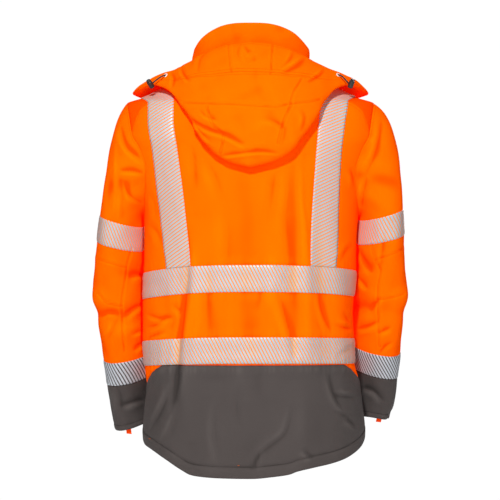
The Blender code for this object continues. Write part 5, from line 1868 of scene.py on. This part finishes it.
    def build(self, shop: Workshop) -> dict[str, Cloth]:
        """Sew every panel of the body.

        Args:
            shop: Where the pieces are made.

        Returns:
            The pieces by name.
        """
        made = self.panels()
        for side in Side:
            made["yoke_" + side.word] = self.yoke(side)
        for name, piece in made.items():
            finish = GREY if "lower" in name else DEEP_ORANGE if "yoke" in name else ORANGE
            held_by = name.replace("_lower", "") if "lower" in name else "collar"
            piece.sew(shop, finish, "draped", held_by)
        return made


# ---------------------------------------------------------------- tapes


@dataclass
class BodyTapes:
    """Reflective tapes round the body and over the shoulders."""

    shell: BodyShell
    lift: float = 1.65
    wall: float = 0.9
    roll: float = 0.35
    across: int = 17
    over_rows: int = 42
    face_rows: int = 100
    seam_share: float = 0.1
    zip_gap: float = 0.5
    around: float = 1190.0
    width: float = 50.0

    def lifted(self, name: str, places: Array) -> Cloth:
        """Tape over places, standing off the cloth."""
        points, relief = self.shell.torso.folded(places)
        points = points + grid_normals(points, False) * self.lift
        return Cloth(name, points, relief, self.wall, roll=self.roll)

    def hoop(self, name: str, pair: tuple[Ring, Ring]) -> Cloth:
        """Tape round the body from zip edge to zip edge."""
        torso = self.shell.torso
        middle = (pair[0].front + pair[1].front) / 2
        x = np.array(torso.zip_edge + self.zip_gap)
        edge = float(torso.place_at_x(x, np.array(middle), Face.FRONT))
        angles = mix(edge, math.pi - edge, graded(self.around, TAPE_SPACING))
        t = graded(self.width, TAPE_SPACING)
        return self.lifted(name, self.shell.lower_places(pair[0], pair[1], angles, t))

    def face_run(self, side: Side, face: Face) -> Array:
        """Places of a brace on the back or front, from the body tape up to the yoke seam."""
        torso = self.shell.torso
        w = np.linspace(0, 1, self.across)
        plan = torso.seam_plan(face, side.value, mix(*torso.brace_fractions(face, side.value), w))
        _, top = torso.on_shoulder(plan)
        ring = UPPER_TAPE[0]
        middle = np.full(w.shape, ring.back if face is Face.BACK else ring.front, float)
        low_x = side.value * self.between_edges(side, middle, w)
        low = torso.ring_height(ring, torso.place_at_x(low_x, middle, face))
        rows = []
        for t in np.linspace(0, 1, self.face_rows):
            z = mix(low, top, t)
            pull = np.clip((t - (1 - self.seam_share)) / self.seam_share, 0, 1)
            x = mix(self.between_edges(side, z, w), np.abs(plan[:, 0]), pull)
            rows.append(paired(torso.place_at_x(side.value * x, z, face), z))
        return np.array(rows)

    def between_edges(self, side: Side, z: Array, w: Array) -> Array:
        """Distances from the centre at fractions of a brace's width."""
        inner, outer = (self.shell.torso.brace_edge(e, side.value, z) for e in ("inner", "outer"))
        return mix(inner, outer, w)

    def brace(self, side: Side) -> Cloth:
        """Tape up the back, over the shoulder and down the front."""
        torso = self.shell.torso
        w = np.linspace(0, 1, self.across)
        s = {face: mix(*torso.brace_fractions(face, side.value), w) for face in Face}
        seams = {face: torso.seam_plan(face, side.value, s[face]) for face in Face}
        over = self.shell.over_shoulder(side.value, s, seams, np.linspace(0, 1, self.over_rows))
        up_back, up_front = (self.face_run(side, face) for face in Face)
        if side is Side.LEFT:
            over = over[:, ::-1]
        else:
            up_front[..., 0] = past_half(up_front[..., 0])
        places = np.concatenate([up_back[:-1], over[::-1], up_front[-2::-1]])
        if side is Side.LEFT:
            places = places[:, ::-1]
        made = self.lifted("brace_" + side.word, places)
        u, v = made.uv[..., 0], made.uv[..., 1]
        made.uv = np.stack([-v, u - u.min()], axis=-1)
        return made

    def build(self, shop: Workshop) -> None:
        """Sew the four tapes."""
        made = [self.hoop("body_tape_upper", UPPER_TAPE), self.hoop("body_tape_lower", LOWER_TAPE)]
        for piece in made + [self.brace(side) for side in Side]:
            piece.sew(shop, TAPE, "stretched", "cloth_back")


# ---------------------------------------------------------------- sleeves


class HeadLean(NamedTuple):
    """How far out and down a sleeve head leans as it leaves the shoulder point."""

    out: float
    down: float


UPPER_CUT, LOWER_CUT, SEAM_CUT, HEM_CUT = 0, 7, 8, 10
HEAD_LEANS = {Side.LEFT: HeadLean(95, 120), Side.RIGHT: HeadLean(140, 85)}


@dataclass
class Sleeve:
    """One sleeve with its grey cuff and two tapes."""

    torso: Torso
    side: Side
    wall: float = 1.6
    roll: float = 0.8
    tape_wall: float = 0.9
    tape_roll: float = 0.35
    tape_lift: float = 1.15
    right_lift: float = 13.0
    square: float = 2.2
    around: float = 380.0
    clearance: float = 4.5
    armpit_gap: float = 0.6
    gap_growth: float = 0.25
    head_height: float = 230.0
    head_fade: float = 14.0
    armpit_out: float = 14.0
    lean_power: float = 0.6
    lean_depth: float = 22.0
    arrival: float = 1.1
    allowance_depth: float = 2.2
    face_turn: float = 14.0
    side_fade: float = 2.4
    crease_strength: float = 1.45
    elbow_depth: float = 1.4
    wave_radius: float = 70.0
    wave_strength: float = 1.15
    hem_width: float = 2.0
    hem_step: float = 0.4
    hem_dip: float = 0.8
    tape_dip: float = 1.1
    puckers: int = 34

    def __post_init__(self) -> None:
        """Read the cuts and settle the turns of the columns."""
        self.at = curves(SLEEVE_CUTS, "z")
        self.turns = np.linspace(0.0, 360.0, round(self.around / SLEEVE_SPACING) + 1)

    def ring(self, z: Array) -> Array:
        """Points of the sleeve's rings at heights."""
        z = np.atleast_1d(z)[:, None]
        value = {name: curve(z) for name, curve in self.at.items()}
        swing = np.radians(self.turns)[None]
        across = signed_power(np.cos(swing), 2 / self.square)
        along = signed_power(np.sin(swing), 2 / self.square)
        slide = value["skew"] * value["half_depth"]
        centre = value["outer_" + self.side.word] - np.hypot(value["half_width"], slide)
        lift = 0.0 if self.side is Side.LEFT else self.right_lift
        x = centre + value["half_width"] * across + slide * along
        y = value["y"] + value["half_depth"] * along
        height = z + lift + value["rise_out"] * across - value["rise_front"] * along
        for part in CUFF_LIFTS:
            off = (self.turns[None] - part.turn) / part.turn_spread
            up = (z - part.z) / part.z_spread
            height += (part.side == self.side.value) * part.rise * np.exp(-(off ** 2) - up ** 2)
        return self.clear(stacked(self.side.value * x, y, height))

    def clear(self, points: Array) -> Array:
        """Points moved out sideways until they clear the body."""
        side = self.side.value
        below = ARMPIT_Z - points[..., 2]
        gap = np.minimum(self.clearance, self.armpit_gap + self.gap_growth * below)
        reach = self.torso.side_width(points[..., 1], points[..., 2], side) + gap
        out = points.copy()
        moved = side * np.maximum(np.abs(points[..., 0]), reach)
        out[..., 0] = np.where(below > 0, moved, points[..., 0])
        return out

    def cap(self, t: Array) -> Array:
        """Points of the sleeve head, on smooth lines from the armhole to the first cut.

        Args:
            t: Fractions down the head.

        Returns:
            Rows of points, the hidden allowance first.
        """
        side = self.side.value
        turn = np.where(self.turns <= 180, self.turns, self.turns - 360)
        turn[-1] = 0.0
        start = self.torso.skin(*self.torso.armhole_place(turn, side))
        end, beyond = (self.ring(np.array([cut.z]))[0] for cut in SLEEVE_CUTS[:2])
        swing = np.radians(turn)
        height = (1 + np.cos(swing)) / 2
        lean = HEAD_LEANS[self.side]
        out = mix(self.armpit_out, lean.out, height ** self.lean_power)
        leave = stacked(side * out, self.lean_depth * np.sin(swing), -lean.down * height)
        size = np.linalg.norm(end - start, axis=-1, keepdims=True)
        arrive = unit(beyond - end) * size * self.arrival
        t = t[:, None, None]
        points = start * ((1 + 2 * t) * (1 - t) ** 2) + leave * (t * (1 - t) ** 2)
        points = points + end * (t * t * (3 - 2 * t)) + arrive * (t * t * (t - 1))
        inward = self.torso.shell_normal(*self.torso.armhole_place(turn, side))
        hidden = start - unit(leave) * ALLOWANCE - inward * self.allowance_depth
        return np.concatenate([hidden[None], points[:1], self.clear(points[1:])])

    def relief(self, points: Array) -> Array:
        """Height of dents, creases and waviness over the plain sleeve."""
        x, z = points[..., 0], points[..., 2]
        turn = np.broadcast_to(self.turns, x.shape)
        swing = np.radians(turn)
        total = np.zeros(x.shape)
        for dent in SLEEVE_DENTS:
            if dent.side == self.side.value:
                off = (turn - dent.turn + 180) % 360 - 180
                up = (z - dent.z) / dent.z_spread
                total += dent.rise * np.exp(-up * up - (off / dent.turn_spread) ** 2)
        facing = np.sin(np.radians(turn - self.face_turn))
        face = np.where(facing >= 0, 1, -1)
        fade = np.minimum(1.0, np.abs(facing) * self.side_fade)
        total += self.crease_strength * CREASED.rise(x, z, face, SLEEVE_CREASES) * fade
        total += SEWN.rise(x, z, ELBOW_SEAMS, self.elbow_depth) * (face > 0)
        radius = self.wave_radius
        total += unevenness(radius * np.cos(swing), z + radius * np.sin(swing)) * self.wave_strength
        hem = (z - self.ring_line(SLEEVE_CUTS[-1].z + CUFF_TURN_UP)) / self.hem_width
        total += self.hem_step * np.clip(-hem, 0, 1) - self.hem_dip * bell(hem)
        pucker = puckered(swing, self.puckers)
        for cut in (UPPER_CUT, UPPER_CUT + 1, LOWER_CUT):
            off = (z - self.ring_line(SLEEVE_CUTS[cut].z)) / SEWN_WIDTH
            total -= self.tape_dip * bell(off) * pucker
        return total

    def ring_line(self, z: float) -> Array:
        """Height at every turn of the ring at a cut."""
        return self.ring(np.array([z]))[0][..., 2][None]

    def line_at(self, z: float) -> tuple[Array, Array]:
        """Points and outward ways round the sleeve at a cut."""
        band, _ = self.folded(self.ring(np.array([z - 1.0, z, z + 1.0])))
        return band[1], grid_normals(band, True)[1] * self.side.value

    def folded(self, points: Array, share: Array | float = 1.0) -> tuple[Array, Array]:
        """Points with a share of the relief pressed in, and that relief."""
        relief = self.relief(points) * share
        away = points - points[:, :-1].mean(axis=1, keepdims=True)
        away[..., 2] = 0
        return self.clear(points + unit(away) * relief[..., None]), relief

    def piece(self, name: str, points: Array, relief: Array, tape: bool = False) -> Cloth:
        """Closed cloth from rows of points, armhole first.

        Args:
            name: The piece's name.
            points: The rows.
            relief: Height of the folds at each point.
            tape: Whether it is a tape and not the shell cloth.

        Returns:
            The cloth.
        """
        points, relief = points[::-1], relief[::-1]
        if self.side is Side.RIGHT:
            points, relief = points[:, ::-1], relief[:, ::-1]
        wall, roll = (self.tape_wall, self.tape_roll) if tape else (self.wall, self.roll)
        return Cloth(f"{name}_{self.side.word}", points, relief, wall, closed=True, roll=roll)

    def heights(self, first: int, last: int) -> Array:
        """Graded heights between two cuts."""
        top, bottom = SLEEVE_CUTS[first].z, SLEEVE_CUTS[last].z
        return mix(top, bottom, graded(top - bottom, SLEEVE_SPACING))

    def build(self, shop: Workshop) -> Cloth:
        """Sew the sleeve, cuff and tapes.

        Args:
            shop: Where the pieces are made.

        Returns:
            The sleeve.
        """
        head = self.cap(graded(self.head_height, SLEEVE_SPACING)[:-3])
        points = np.concatenate([head, self.ring(self.heights(UPPER_CUT, SEAM_CUT))[3:]])
        share = np.clip(run_lengths(points, 0).mean(axis=1) / self.head_fade, 0, 1)[:, None]
        sleeve = self.piece("sleeve", *self.folded(points, share))
        cuff = self.piece("cuff", *self.folded(self.ring(self.heights(SEAM_CUT, HEM_CUT))))
        sleeve.sew(shop, ORANGE, "draped", "cloth_back")
        cuff.sew(shop, GREY, "draped", "cloth_" + sleeve.name)
        for name, first, finish in (("upper", UPPER_CUT, TAPE), ("lower", LOWER_CUT, DARK_TAPE)):
            band, rise = self.folded(self.ring(self.heights(first, first + 1)))
            lifted = band - grid_normals(band, True) * self.side.value * self.tape_lift
            tape = self.piece("sleeve_tape_" + name, lifted, rise, tape=True)
            tape.sew(shop, finish, "stretched", "cloth_" + sleeve.name)
        return sleeve


# ---------------------------------------------------------------- collar and hood


@dataclass
class Collar:
    """Standing collar, open at the zip."""

    torso: Torso
    half_left: float = 110.0
    half_right: float = 115.0
    back_y: float = 82.0
    front_y: float = 108.0
    side_z: float = 38.0
    back_z: float = 83.0
    front_z: float = -4.0
    belly: float = 4.0
    wall: float = 2.6
    around: float = 640.0
    height: float = 90.0
    back_power: float = 3.0
    front_power: float = 1.5
    wave_scale: float = 1.7
    wave_strength: float = 0.8
    ripple: float = 0.9
    ripple_rate: float = 0.09
    ripple_z: float = 30.0
    ripple_start: float = 0.6

    def points(self) -> Array:
        """Rows of points from the seam to the top edge."""
        turns = mix(-90.0, 270.0, graded(self.around))
        base = self.torso.skin(*self.torso.neck_place(turns))
        swing = np.radians(turns)
        across, along = np.cos(swing), np.sin(swing)
        half = np.where(across >= 0, self.half_left, self.half_right)
        reach = np.where(along >= 0, self.back_y, self.front_y)
        back = mix(self.back_z, self.side_z, np.abs(across) ** self.back_power)
        front = mix(self.side_z, self.front_z, np.abs(along) ** self.front_power)
        top = stacked(half * across, reach * along, np.where(along >= 0, back, front))
        edge = self.torso.zip_edge
        for line in (base, top):
            near = (np.abs(line[:, 0]) < edge) & (line[:, 1] < 0)
            sign = np.where(np.arange(len(line)) < len(line) / 2, 1.0, -1.0)
            line[:, 0] = np.where(near, sign * edge, line[:, 0])
        outward = unit(top * np.array([1, 1, 0]))
        t = graded(self.height)[:, None, None]
        points = base + (top - base) * t + outward * self.belly * np.sin(math.pi * t)
        for column in (0, -1):
            points[:, column, 0] = base[column, 0]
        return points

    def build(self, shop: Workshop) -> None:
        """Sew the collar."""
        points = self.points()
        x, z = points[..., 0], points[..., 2]
        relief = unevenness(x * self.wave_scale, z * self.wave_scale) * self.wave_strength
        ripple = self.ripple * np.sin(x * self.ripple_rate + self.ripple_start)
        relief = relief + ripple * bell((z - self.ripple_z) / self.ripple_z)
        points = points + grid_normals(points, False) * relief[..., None]
        piece = Cloth("collar", points, relief, self.wall, roll=1.0)
        piece.sew(shop, ORANGE, "stretched", "cloth_back")


@dataclass
class Hood:
    """Hanging hood and its brim band."""

    torso: Torso
    seat: float = 0.55
    seam_out: float = 3.0
    lift: float = 3.6
    outer_lift: float = 4.6
    lift_rounds: int = 6
    least_lift: float = 0.01
    wall: float = 1.5
    roll: float = 1.0
    brim_from: float = 0.75
    pouch_height: float = 205.0
    brim_height: float = 75.0
    spacing: float = 2.4
    half_columns: int = 132
    inner_rows: int = 24
    belly_side: float = 0.25
    leave: tuple[float, float] = (0.95, 0.2)
    arrive: tuple[float, float] = (1.1, 0.9)
    crease_strength: float = 1.6
    seam_depth: float = 1.1
    wave_scale: tuple[float, float] = (1.5, 1.6)
    wave_strength: float = 0.9
    fold_share: float = 0.12

    def __post_init__(self) -> None:
        """Read the stations and settle the columns."""
        self.at = curves(HOOD, "turn")
        self.turns = np.linspace(HOOD[0].turn, HOOD[-1].turn, self.half_columns)

    def field(self, x: Array, y: Array, z: Array) -> Array:
        """Value that is 0 on the unfolded body and above 0 outside it."""
        z = np.minimum(z, 0.0)
        half_width, half_depth, square = self.torso.sizes(z, x >= 0, y >= 0)
        total = np.abs(x / half_width) ** square + np.abs(y / half_depth) ** square
        return total ** (1 / square) - 1

    def lifted(self, points: Array, gap: float) -> Array:
        """Points moved out until they are at least gap from the body."""
        for _ in range(self.lift_rounds):
            x, y, z = points[..., 0], points[..., 1], points[..., 2]
            here = self.field(x, y, z)
            east, south = self.field(x + 1, y, z) - here, self.field(x, y + 1, z) - here
            slope = stacked(east, south, here - self.field(x, y, z - 1))
            size = np.linalg.norm(slope, axis=-1)
            short = np.maximum(0.0, gap - here / size)
            short = np.where(short > self.least_lift, short, 0.0)
            points = points + slope / size[..., None] * short[..., None]
        return points

    def columns(self, side: Side, inner: Array, outer: Array) -> tuple[Array, Array]:
        """Grid of one side's inner and outer layers.

        Args:
            side: The half of the hood.
            inner: Fractions from the neck seam to the fold.
            outer: Fractions from the fold to the rim.

        Returns:
            Rows of the inner layer and rows of the outer layer, columns from the centre.
        """
        value = {name: curve(self.turns) for name, curve in self.at.items()}
        hand, end = side.value, "x" if side is Side.LEFT else "right"
        turns = self.turns if side is Side.LEFT else 180 - self.turns
        seam = self.torso.skin(*self.torso.neck_place(turns))
        outward = unit(seam * np.array([1, 1, 0]))
        seam = self.lifted(seam + outward * self.seam_out, self.seat)
        fold = stacked(hand * value["fold_" + end], value["fold_y"], value["fold_z"])
        fold = self.lifted(fold, self.outer_lift)
        rim = stacked(hand * value["rim_" + end], value["rim_y"], value["rim_z"])
        down = self.lifted(mix(seam, fold, inner[:, None, None]), self.lift)
        down[0] = seam
        belly = value["belly"]
        side_way = stacked(hand * self.belly_side * belly, belly, 0 * belly)
        drop = stacked(0 * belly, 0 * belly, belly)
        leave = fold + side_way * self.leave[0] - drop * self.leave[1]
        arrive = rim + side_way * self.arrive[0] - drop * self.arrive[1]
        up = bezier((fold, leave, arrive, rim), outer[:, None, None])
        return down, self.lifted(up, self.outer_lift)

    def relief(self, points: Array) -> Array:
        """Height of seams, tucks and waviness on the outer layer."""
        x, z = points[..., 0], points[..., 2]
        total = self.crease_strength * CREASED.rise(x, z, np.ones(x.shape), HOOD_CREASES)
        total += SEWN.rise(x, z, HOOD_SEAMS, self.seam_depth)
        across, up = self.wave_scale
        return total + unevenness(x * across, z * up) * self.wave_strength

    def build(self, shop: Workshop) -> dict[str, Cloth]:
        """Sew the pouch and the brim band.

        Args:
            shop: Where the pieces are made.

        Returns:
            The pieces by name.
        """
        inner = np.linspace(0, 1, self.inner_rows)[:-1]
        pouch = self.brim_from * graded(self.pouch_height, self.spacing)
        brim = mix(self.brim_from, 1.0, graded(self.brim_height, self.spacing))
        outer = np.concatenate([pouch, brim])
        left, right = (self.columns(side, inner, outer) for side in Side)
        halves = zip(left, right)
        down, up = (np.concatenate([a[:, ::-1], b[:, 1:]], axis=1) for a, b in halves)
        rise = self.relief(up) * np.clip(outer / self.fold_share, 0, 1)[:, None] ** 2
        up = up + grid_normals(up, False) * rise[..., None]
        split = len(pouch)
        points = np.concatenate([down, up[:split]])
        relief = np.concatenate([np.zeros(down.shape[:2]), rise[:split]])
        made = {
            "hood": Cloth("hood", points, relief, self.wall, roll=self.roll),
            "brim": Cloth("hood_brim", up[split:], rise[split:], self.wall, roll=self.roll),
        }
        made["hood"].sew(shop, ORANGE, "hung", "cloth_collar")
        made["brim"].sew(shop, ORANGE, "hung", "cloth_hood")
        return made


# ---------------------------------------------------------------- cords and locks


class CordRun(NamedTuple):
    """Hood cord: its control points from the eyelet to the lock, and the eyelet's outward way."""

    side: Side
    points: tuple[Point, ...]
    outward: Point


CORD_RUNS = (
    CordRun(
        Side.LEFT,
        ((162.3, 67.9, -17.5), (167, 79, -17), (179, 78, -26), (186.1, 68.9, -31.8)),
        (0.505, 0.572, 0.646),
    ),
    CordRun(
        Side.RIGHT,
        ((-169.5, 69.4, -17.0), (-175, 83, -16), (-183, 84, -27), (-188.8, 73.6, -32.8)),
        (-0.53, 0.572, 0.626),
    ),
)


@dataclass
class HoodCord:
    """One elastic cord with its eyelet; its lock keeps the node's own shape."""

    run: CordRun
    radius: float = 1.4
    steps: int = 21
    eyelet_radius: float = 3.5
    eyelet_wire: float = 0.95
    eyelet_proud: float = 0.2
    wire_steps: int = 12
    ring_steps: int = 32

    def build(self, shop: Workshop) -> None:
        word = self.run.side.word
        corners = [np.array(point, float) for point in self.run.points]
        points = bezier(corners, np.linspace(0, 1, self.steps)[:, None])
        curve = tube("drawcord_" + word, self.radius, 4, [points])
        curve.use_fill_caps = True
        curve.splines[0].use_smooth = True
        cord = shop.add("drawcord_" + word, curve, CORD)
        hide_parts("hood_cord_" + word)
        shop.dress("cord_lock_" + word, PLASTIC)

    def eyelet(self, shop: Workshop) -> None:
        """Rolled ring round the cord's hole."""
        shape = bmesh.new()
        bmesh.ops.create_circle(shape, radius=self.eyelet_wire * MM, segments=self.wire_steps)
        turn = Matrix.Rotation(math.pi / 2, 4, "X")
        bmesh.ops.transform(shape, matrix=turn, verts=shape.verts[:])
        bmesh.ops.translate(shape, verts=shape.verts[:], vec=(self.eyelet_radius * MM, 0, 0))
        bmesh.ops.spin(
            shape, geom=shape.verts[:] + shape.edges[:], cent=(0, 0, 0), axis=(0, 0, 1),
            angle=math.tau, steps=self.ring_steps, use_merge=True,
        )
        bmesh.ops.recalc_face_normals(shape, faces=shape.faces[:])
        outward = Vector(self.run.outward)
        middle = Vector(self.run.points[0]) + outward * self.eyelet_proud
        tilt = outward.to_track_quat("Z", "X").to_matrix().to_4x4()
        place = Matrix.Translation(middle * MM) @ tilt
        bmesh.ops.transform(shape, matrix=place, verts=shape.verts[:])
        data = mesh_from(shape, "eyelet")
        data.shade_smooth()
        shop.add("eyelet_" + self.run.side.word, data, RING_ENAMEL)


# ---------------------------------------------------------------- zip, tabs and stitching


@dataclass
class Zip:
    """Front zip: two rows of moulded teeth on the chain, with slider and pull."""

    torso: Torso
    collar: Collar
    pitch: float = 2.5
    tooth: Point = (3.5, 1.5, 1.45)
    tooth_x: float = 1.25
    first_tooth: float = 1.0
    proud: float = 0.95
    top_drop: float = 3.0
    hem_gap: float = 3.0
    steps: int = 120

    def path(self) -> Array:
        """Points up the middle of the zip, on the cloth's face."""
        top = self.torso.neck_side_z - self.torso.neck_front_drop
        z = np.linspace(HEM.front + self.hem_gap, top, self.steps)
        body = self.torso.skin(np.full(z.shape, -math.pi / 2), z)
        line = np.concatenate([body, self.collar.points()[1:, 0]])
        line[:, 0] = 0.0
        return line

    def build(self, shop: Workshop) -> None:
        """Make the teeth and dress the kept nodes."""
        line = self.path()
        along = run_lengths(line, 0)
        slope = unit(np.gradient(line, axis=0))
        shape = bmesh.new()
        count = int((along[-1] - self.top_drop) / (self.pitch / 2))
        for i in range(count):
            at = i * self.pitch / 2 + self.first_tooth
            middle = Vector([float(np.interp(at, along, line[:, k])) for k in range(3)])
            up = Vector([float(np.interp(at, along, slope[:, k])) for k in range(3)])
            hand = 1 if i % 2 else -1
            middle += Vector((0, -up.z, up.y)) * self.proud + Vector((hand * self.tooth_x, 0, 0))
            lean = Matrix.Rotation(math.atan2(-up.y, up.z), 4, "X")
            size = Matrix.Diagonal((*(Vector(self.tooth) * MM), 1))
            matrix = Matrix.Translation(middle * MM) @ lean @ size
            bmesh.ops.create_cube(shape, size=1.0, matrix=matrix)
        shop.add("zip_teeth", mesh_from(shape, "zip_teeth"), PLASTIC)
        shop.dress("zip_chain", ZIP_CLOTH)
        shop.dress("zip_slider", DARK_METAL)
        shop.dress("zip_pull", DARK_METAL)
        LOG.info("zip has %d teeth", count)


class TabPlace(NamedTuple):
    """Webbing tab inside a cuff: side, its middle at the hem, its lean and its drop."""

    side: Side
    x: float
    y: float
    z: float
    lean: float
    drop: float


TABS = (
    TabPlace(Side.LEFT, 239.0, -84.0, -697.0, 0.12, 15.0),
    TabPlace(Side.RIGHT, -256.0, -90.0, -674.0, -0.25, 15.0),
)


@dataclass
class CuffTab:
    """Short loop of orange webbing that hangs from the inside of a cuff's hem."""

    place: TabPlace
    width: float = 9.8
    radius: float = 1.5
    wall: float = 0.8
    steps: int = 9
    columns: int = 6
    tilt: float = 0.12
    spare: float = 0.0005

    def build(self, shop: Workshop) -> None:
        """Make the loop and give it its thickness."""
        place = self.place
        bend = np.linspace(0, math.pi, self.steps)
        down = np.linspace(0, place.drop, self.steps)[:-1]
        leg = np.full(down.shape, self.radius)
        y = np.concatenate([-leg, -self.radius * np.cos(bend), leg])
        z = np.concatenate([-down, -place.drop - self.radius * np.sin(bend), -down[::-1]])
        y, z = y[:, None], z[:, None]
        across = np.linspace(-0.5, 0.5, self.columns)[None] * self.width
        x = across + place.lean * z
        points = stacked(place.x + x, place.y + y, place.z + z + self.tilt * across)
        name = "cuff_tab_" + place.side.word
        tab = Cloth(name, points, np.zeros(x.shape), self.wall, roll=0.0)
        item = shop.add(name, tab.mesh(), WEBBING)
        tab.thicken(item, 0.0)


TACKS = ((193.0, -716.0), (22.0, -763.0))


@dataclass
class Stitching:
    """Lockstitch beside the seams, along the hems and on the hood."""

    torso: Torso
    twin: float = 2.4
    single: float = 2.0
    tape_cover: float = 1.5
    least_run: int = 3
    points_a_corner: int = 10
    hem_steps: int = 700
    tack_half: float = 1.8
    tack_step: float = 0.5

    def beside(self, threads: Threads, piece: Cloth, *rows: int) -> None:
        """Stitches along rows of a piece's grid."""
        for row in rows:
            self.in_view(threads, piece.points[row], piece.normals[row])

    def in_view(self, threads: Threads, line: Array, way: Array) -> None:
        """Stitches along a line, left out where a shoulder tape covers them."""
        x, z = line[:, 0], line[:, 2]
        inner, outer = (
            np.where(x > 0, *(self.torso.brace_edge(edge, side, z) for side in (1, -1)))
            for edge in ("inner", "outer")
        )
        x = np.abs(x)
        beside = (x < inner - self.tape_cover) | (x > outer + self.tape_cover)
        shown = beside | (z < UPPER_TAPE[0].left)
        breaks = np.flatnonzero(np.diff(shown.astype(int))) + 1
        for run in np.split(np.arange(len(line)), breaks):
            if shown[run[0]] and len(run) > self.least_run:
                threads.row(line[run], way[run])

    def up(self, threads: Threads, piece: Cloth, *columns: int, lowest: float = -math.inf) -> None:
        """Stitches up columns of a piece's grid, above a height."""
        for column in columns:
            line, way = piece.points[:, column], piece.normals[:, column]
            keep = line[:, 2] > lowest
            self.in_view(threads, line[keep], way[keep])

    def body(self, pieces: dict[str, Cloth]) -> Threads:
        """Stitches of the orange panels and shoulder patches."""
        threads = Threads("seam_stitches")
        self.beside(threads, pieces["back"], -3, -5)
        self.up(threads, pieces["back"], 3, -4, lowest=ARMPIT_Z)
        for side, arm, edge in ((Side.LEFT, -4, 3), (Side.RIGHT, 3, -4)):
            front = pieces["front_" + side.word]
            self.beside(threads, front, -3)
            self.up(threads, front, arm, lowest=ARMPIT_Z)
            self.up(threads, front, edge)
            self.up(threads, pieces["yoke_" + side.word], 4, -5)
        return threads

    def hems(self, sleeves: Sequence[Sleeve]) -> Threads:
        """Stitches of the body's hem and the cuffs, in grey thread."""
        threads = Threads("hem_stitches")
        x, z = np.array(self.torso.zip_edge), np.array(TORSO[-3].z)
        edge = float(self.torso.place_at_x(x, z, Face.FRONT))
        angles = np.linspace(edge, math.pi - edge, self.hem_steps)
        z = hem_height(self.torso, angles) + HEM_TURN_UP
        threads.row(self.torso.skin(angles, z), self.torso.shell_normal(angles, z))
        for sleeve in sleeves:
            threads.row(*sleeve.line_at(SLEEVE_CUTS[-1].z + CUFF_TURN_UP))
        return threads

    def arms(self, sleeves: Sequence[Cloth]) -> Threads:
        """Stitches of the sleeve heads and elbow seams."""
        threads = Threads("sleeve_stitches")
        for sleeve in sleeves:
            self.beside(threads, sleeve, -5)
            probe = Probe([sleeve])
            for seam in ELBOW_SEAMS:
                self.along(threads, probe, seam, self.single)
        return threads

    def hood(self, made: dict[str, Cloth]) -> Threads:
        """Stitches of the hood's seams and brim."""
        threads = Threads("hood_stitches")
        self.beside(threads, made["brim"], 3, -6)
        self.beside(threads, made["hood"], -4)
        probe = Probe([made["hood"], made["brim"]])
        for i, seam in enumerate(HOOD_SEAMS):
            for off in (self.twin, -self.twin) if i in (1, 3) else (self.twin,):
                self.along(threads, probe, seam, off)
        return threads

    def along(self, threads: Threads, probe: Probe, seam: Line, off: float) -> None:
        """Stitches beside a seam that is given as it shows from behind."""
        line = smooth_line(seam, self.points_a_corner * len(seam))
        way = unit(np.gradient(line, axis=0))
        points, normals = probe.find(line + np.stack([-way[:, 1], way[:, 0]], axis=-1) * off)
        if len(points) > 2:
            threads.row(points, normals)

    def tacks(self, probe: Probe) -> Threads:
        """Bar tacks on the hem."""
        threads = Threads("bar_tacks")
        for x, z in TACKS:
            for up in (z, z + self.tack_step, z + 2 * self.tack_step):
                ends = [[x - self.tack_half, up], [x + self.tack_half, up]]
                threads.row(*probe.find(np.array(ends)))
        return threads


def main() -> None:
    """Dress the jacket, one sub-assembly after another."""
    logging.basicConfig(level=logging.INFO, format="%(message)s")
    Studio().build()
    shop = Workshop()
    for run in CORD_RUNS:
        cord = HoodCord(run)
        cord.build(shop)
        cord.eyelet(shop)
    torso = Torso()
    shell = BodyShell(torso)
    body = shell.build(shop)
    BodyTapes(shell).build(shop)
    sleeves = [Sleeve(torso, side) for side in Side]
    arms = [sleeve.build(shop) for sleeve in sleeves]
    collar = Collar(torso)
    collar.build(shop)
    hood = Hood(torso).build(shop)
    Zip(torso, collar).build(shop)
    for place in TABS:
        CuffTab(place).build(shop)
    sewing = Stitching(torso)
    sewing.body(body).make(shop, THREAD)
    sewing.arms(arms).make(shop, THREAD)
    sewing.hood(hood).make(shop, THREAD)
    sewing.hems(sleeves).make(shop, GREY_THREAD)
    sewing.tacks(Probe([body["back_lower"]])).make(shop, TACK_THREAD)


if __name__ == "__main__":
    main()
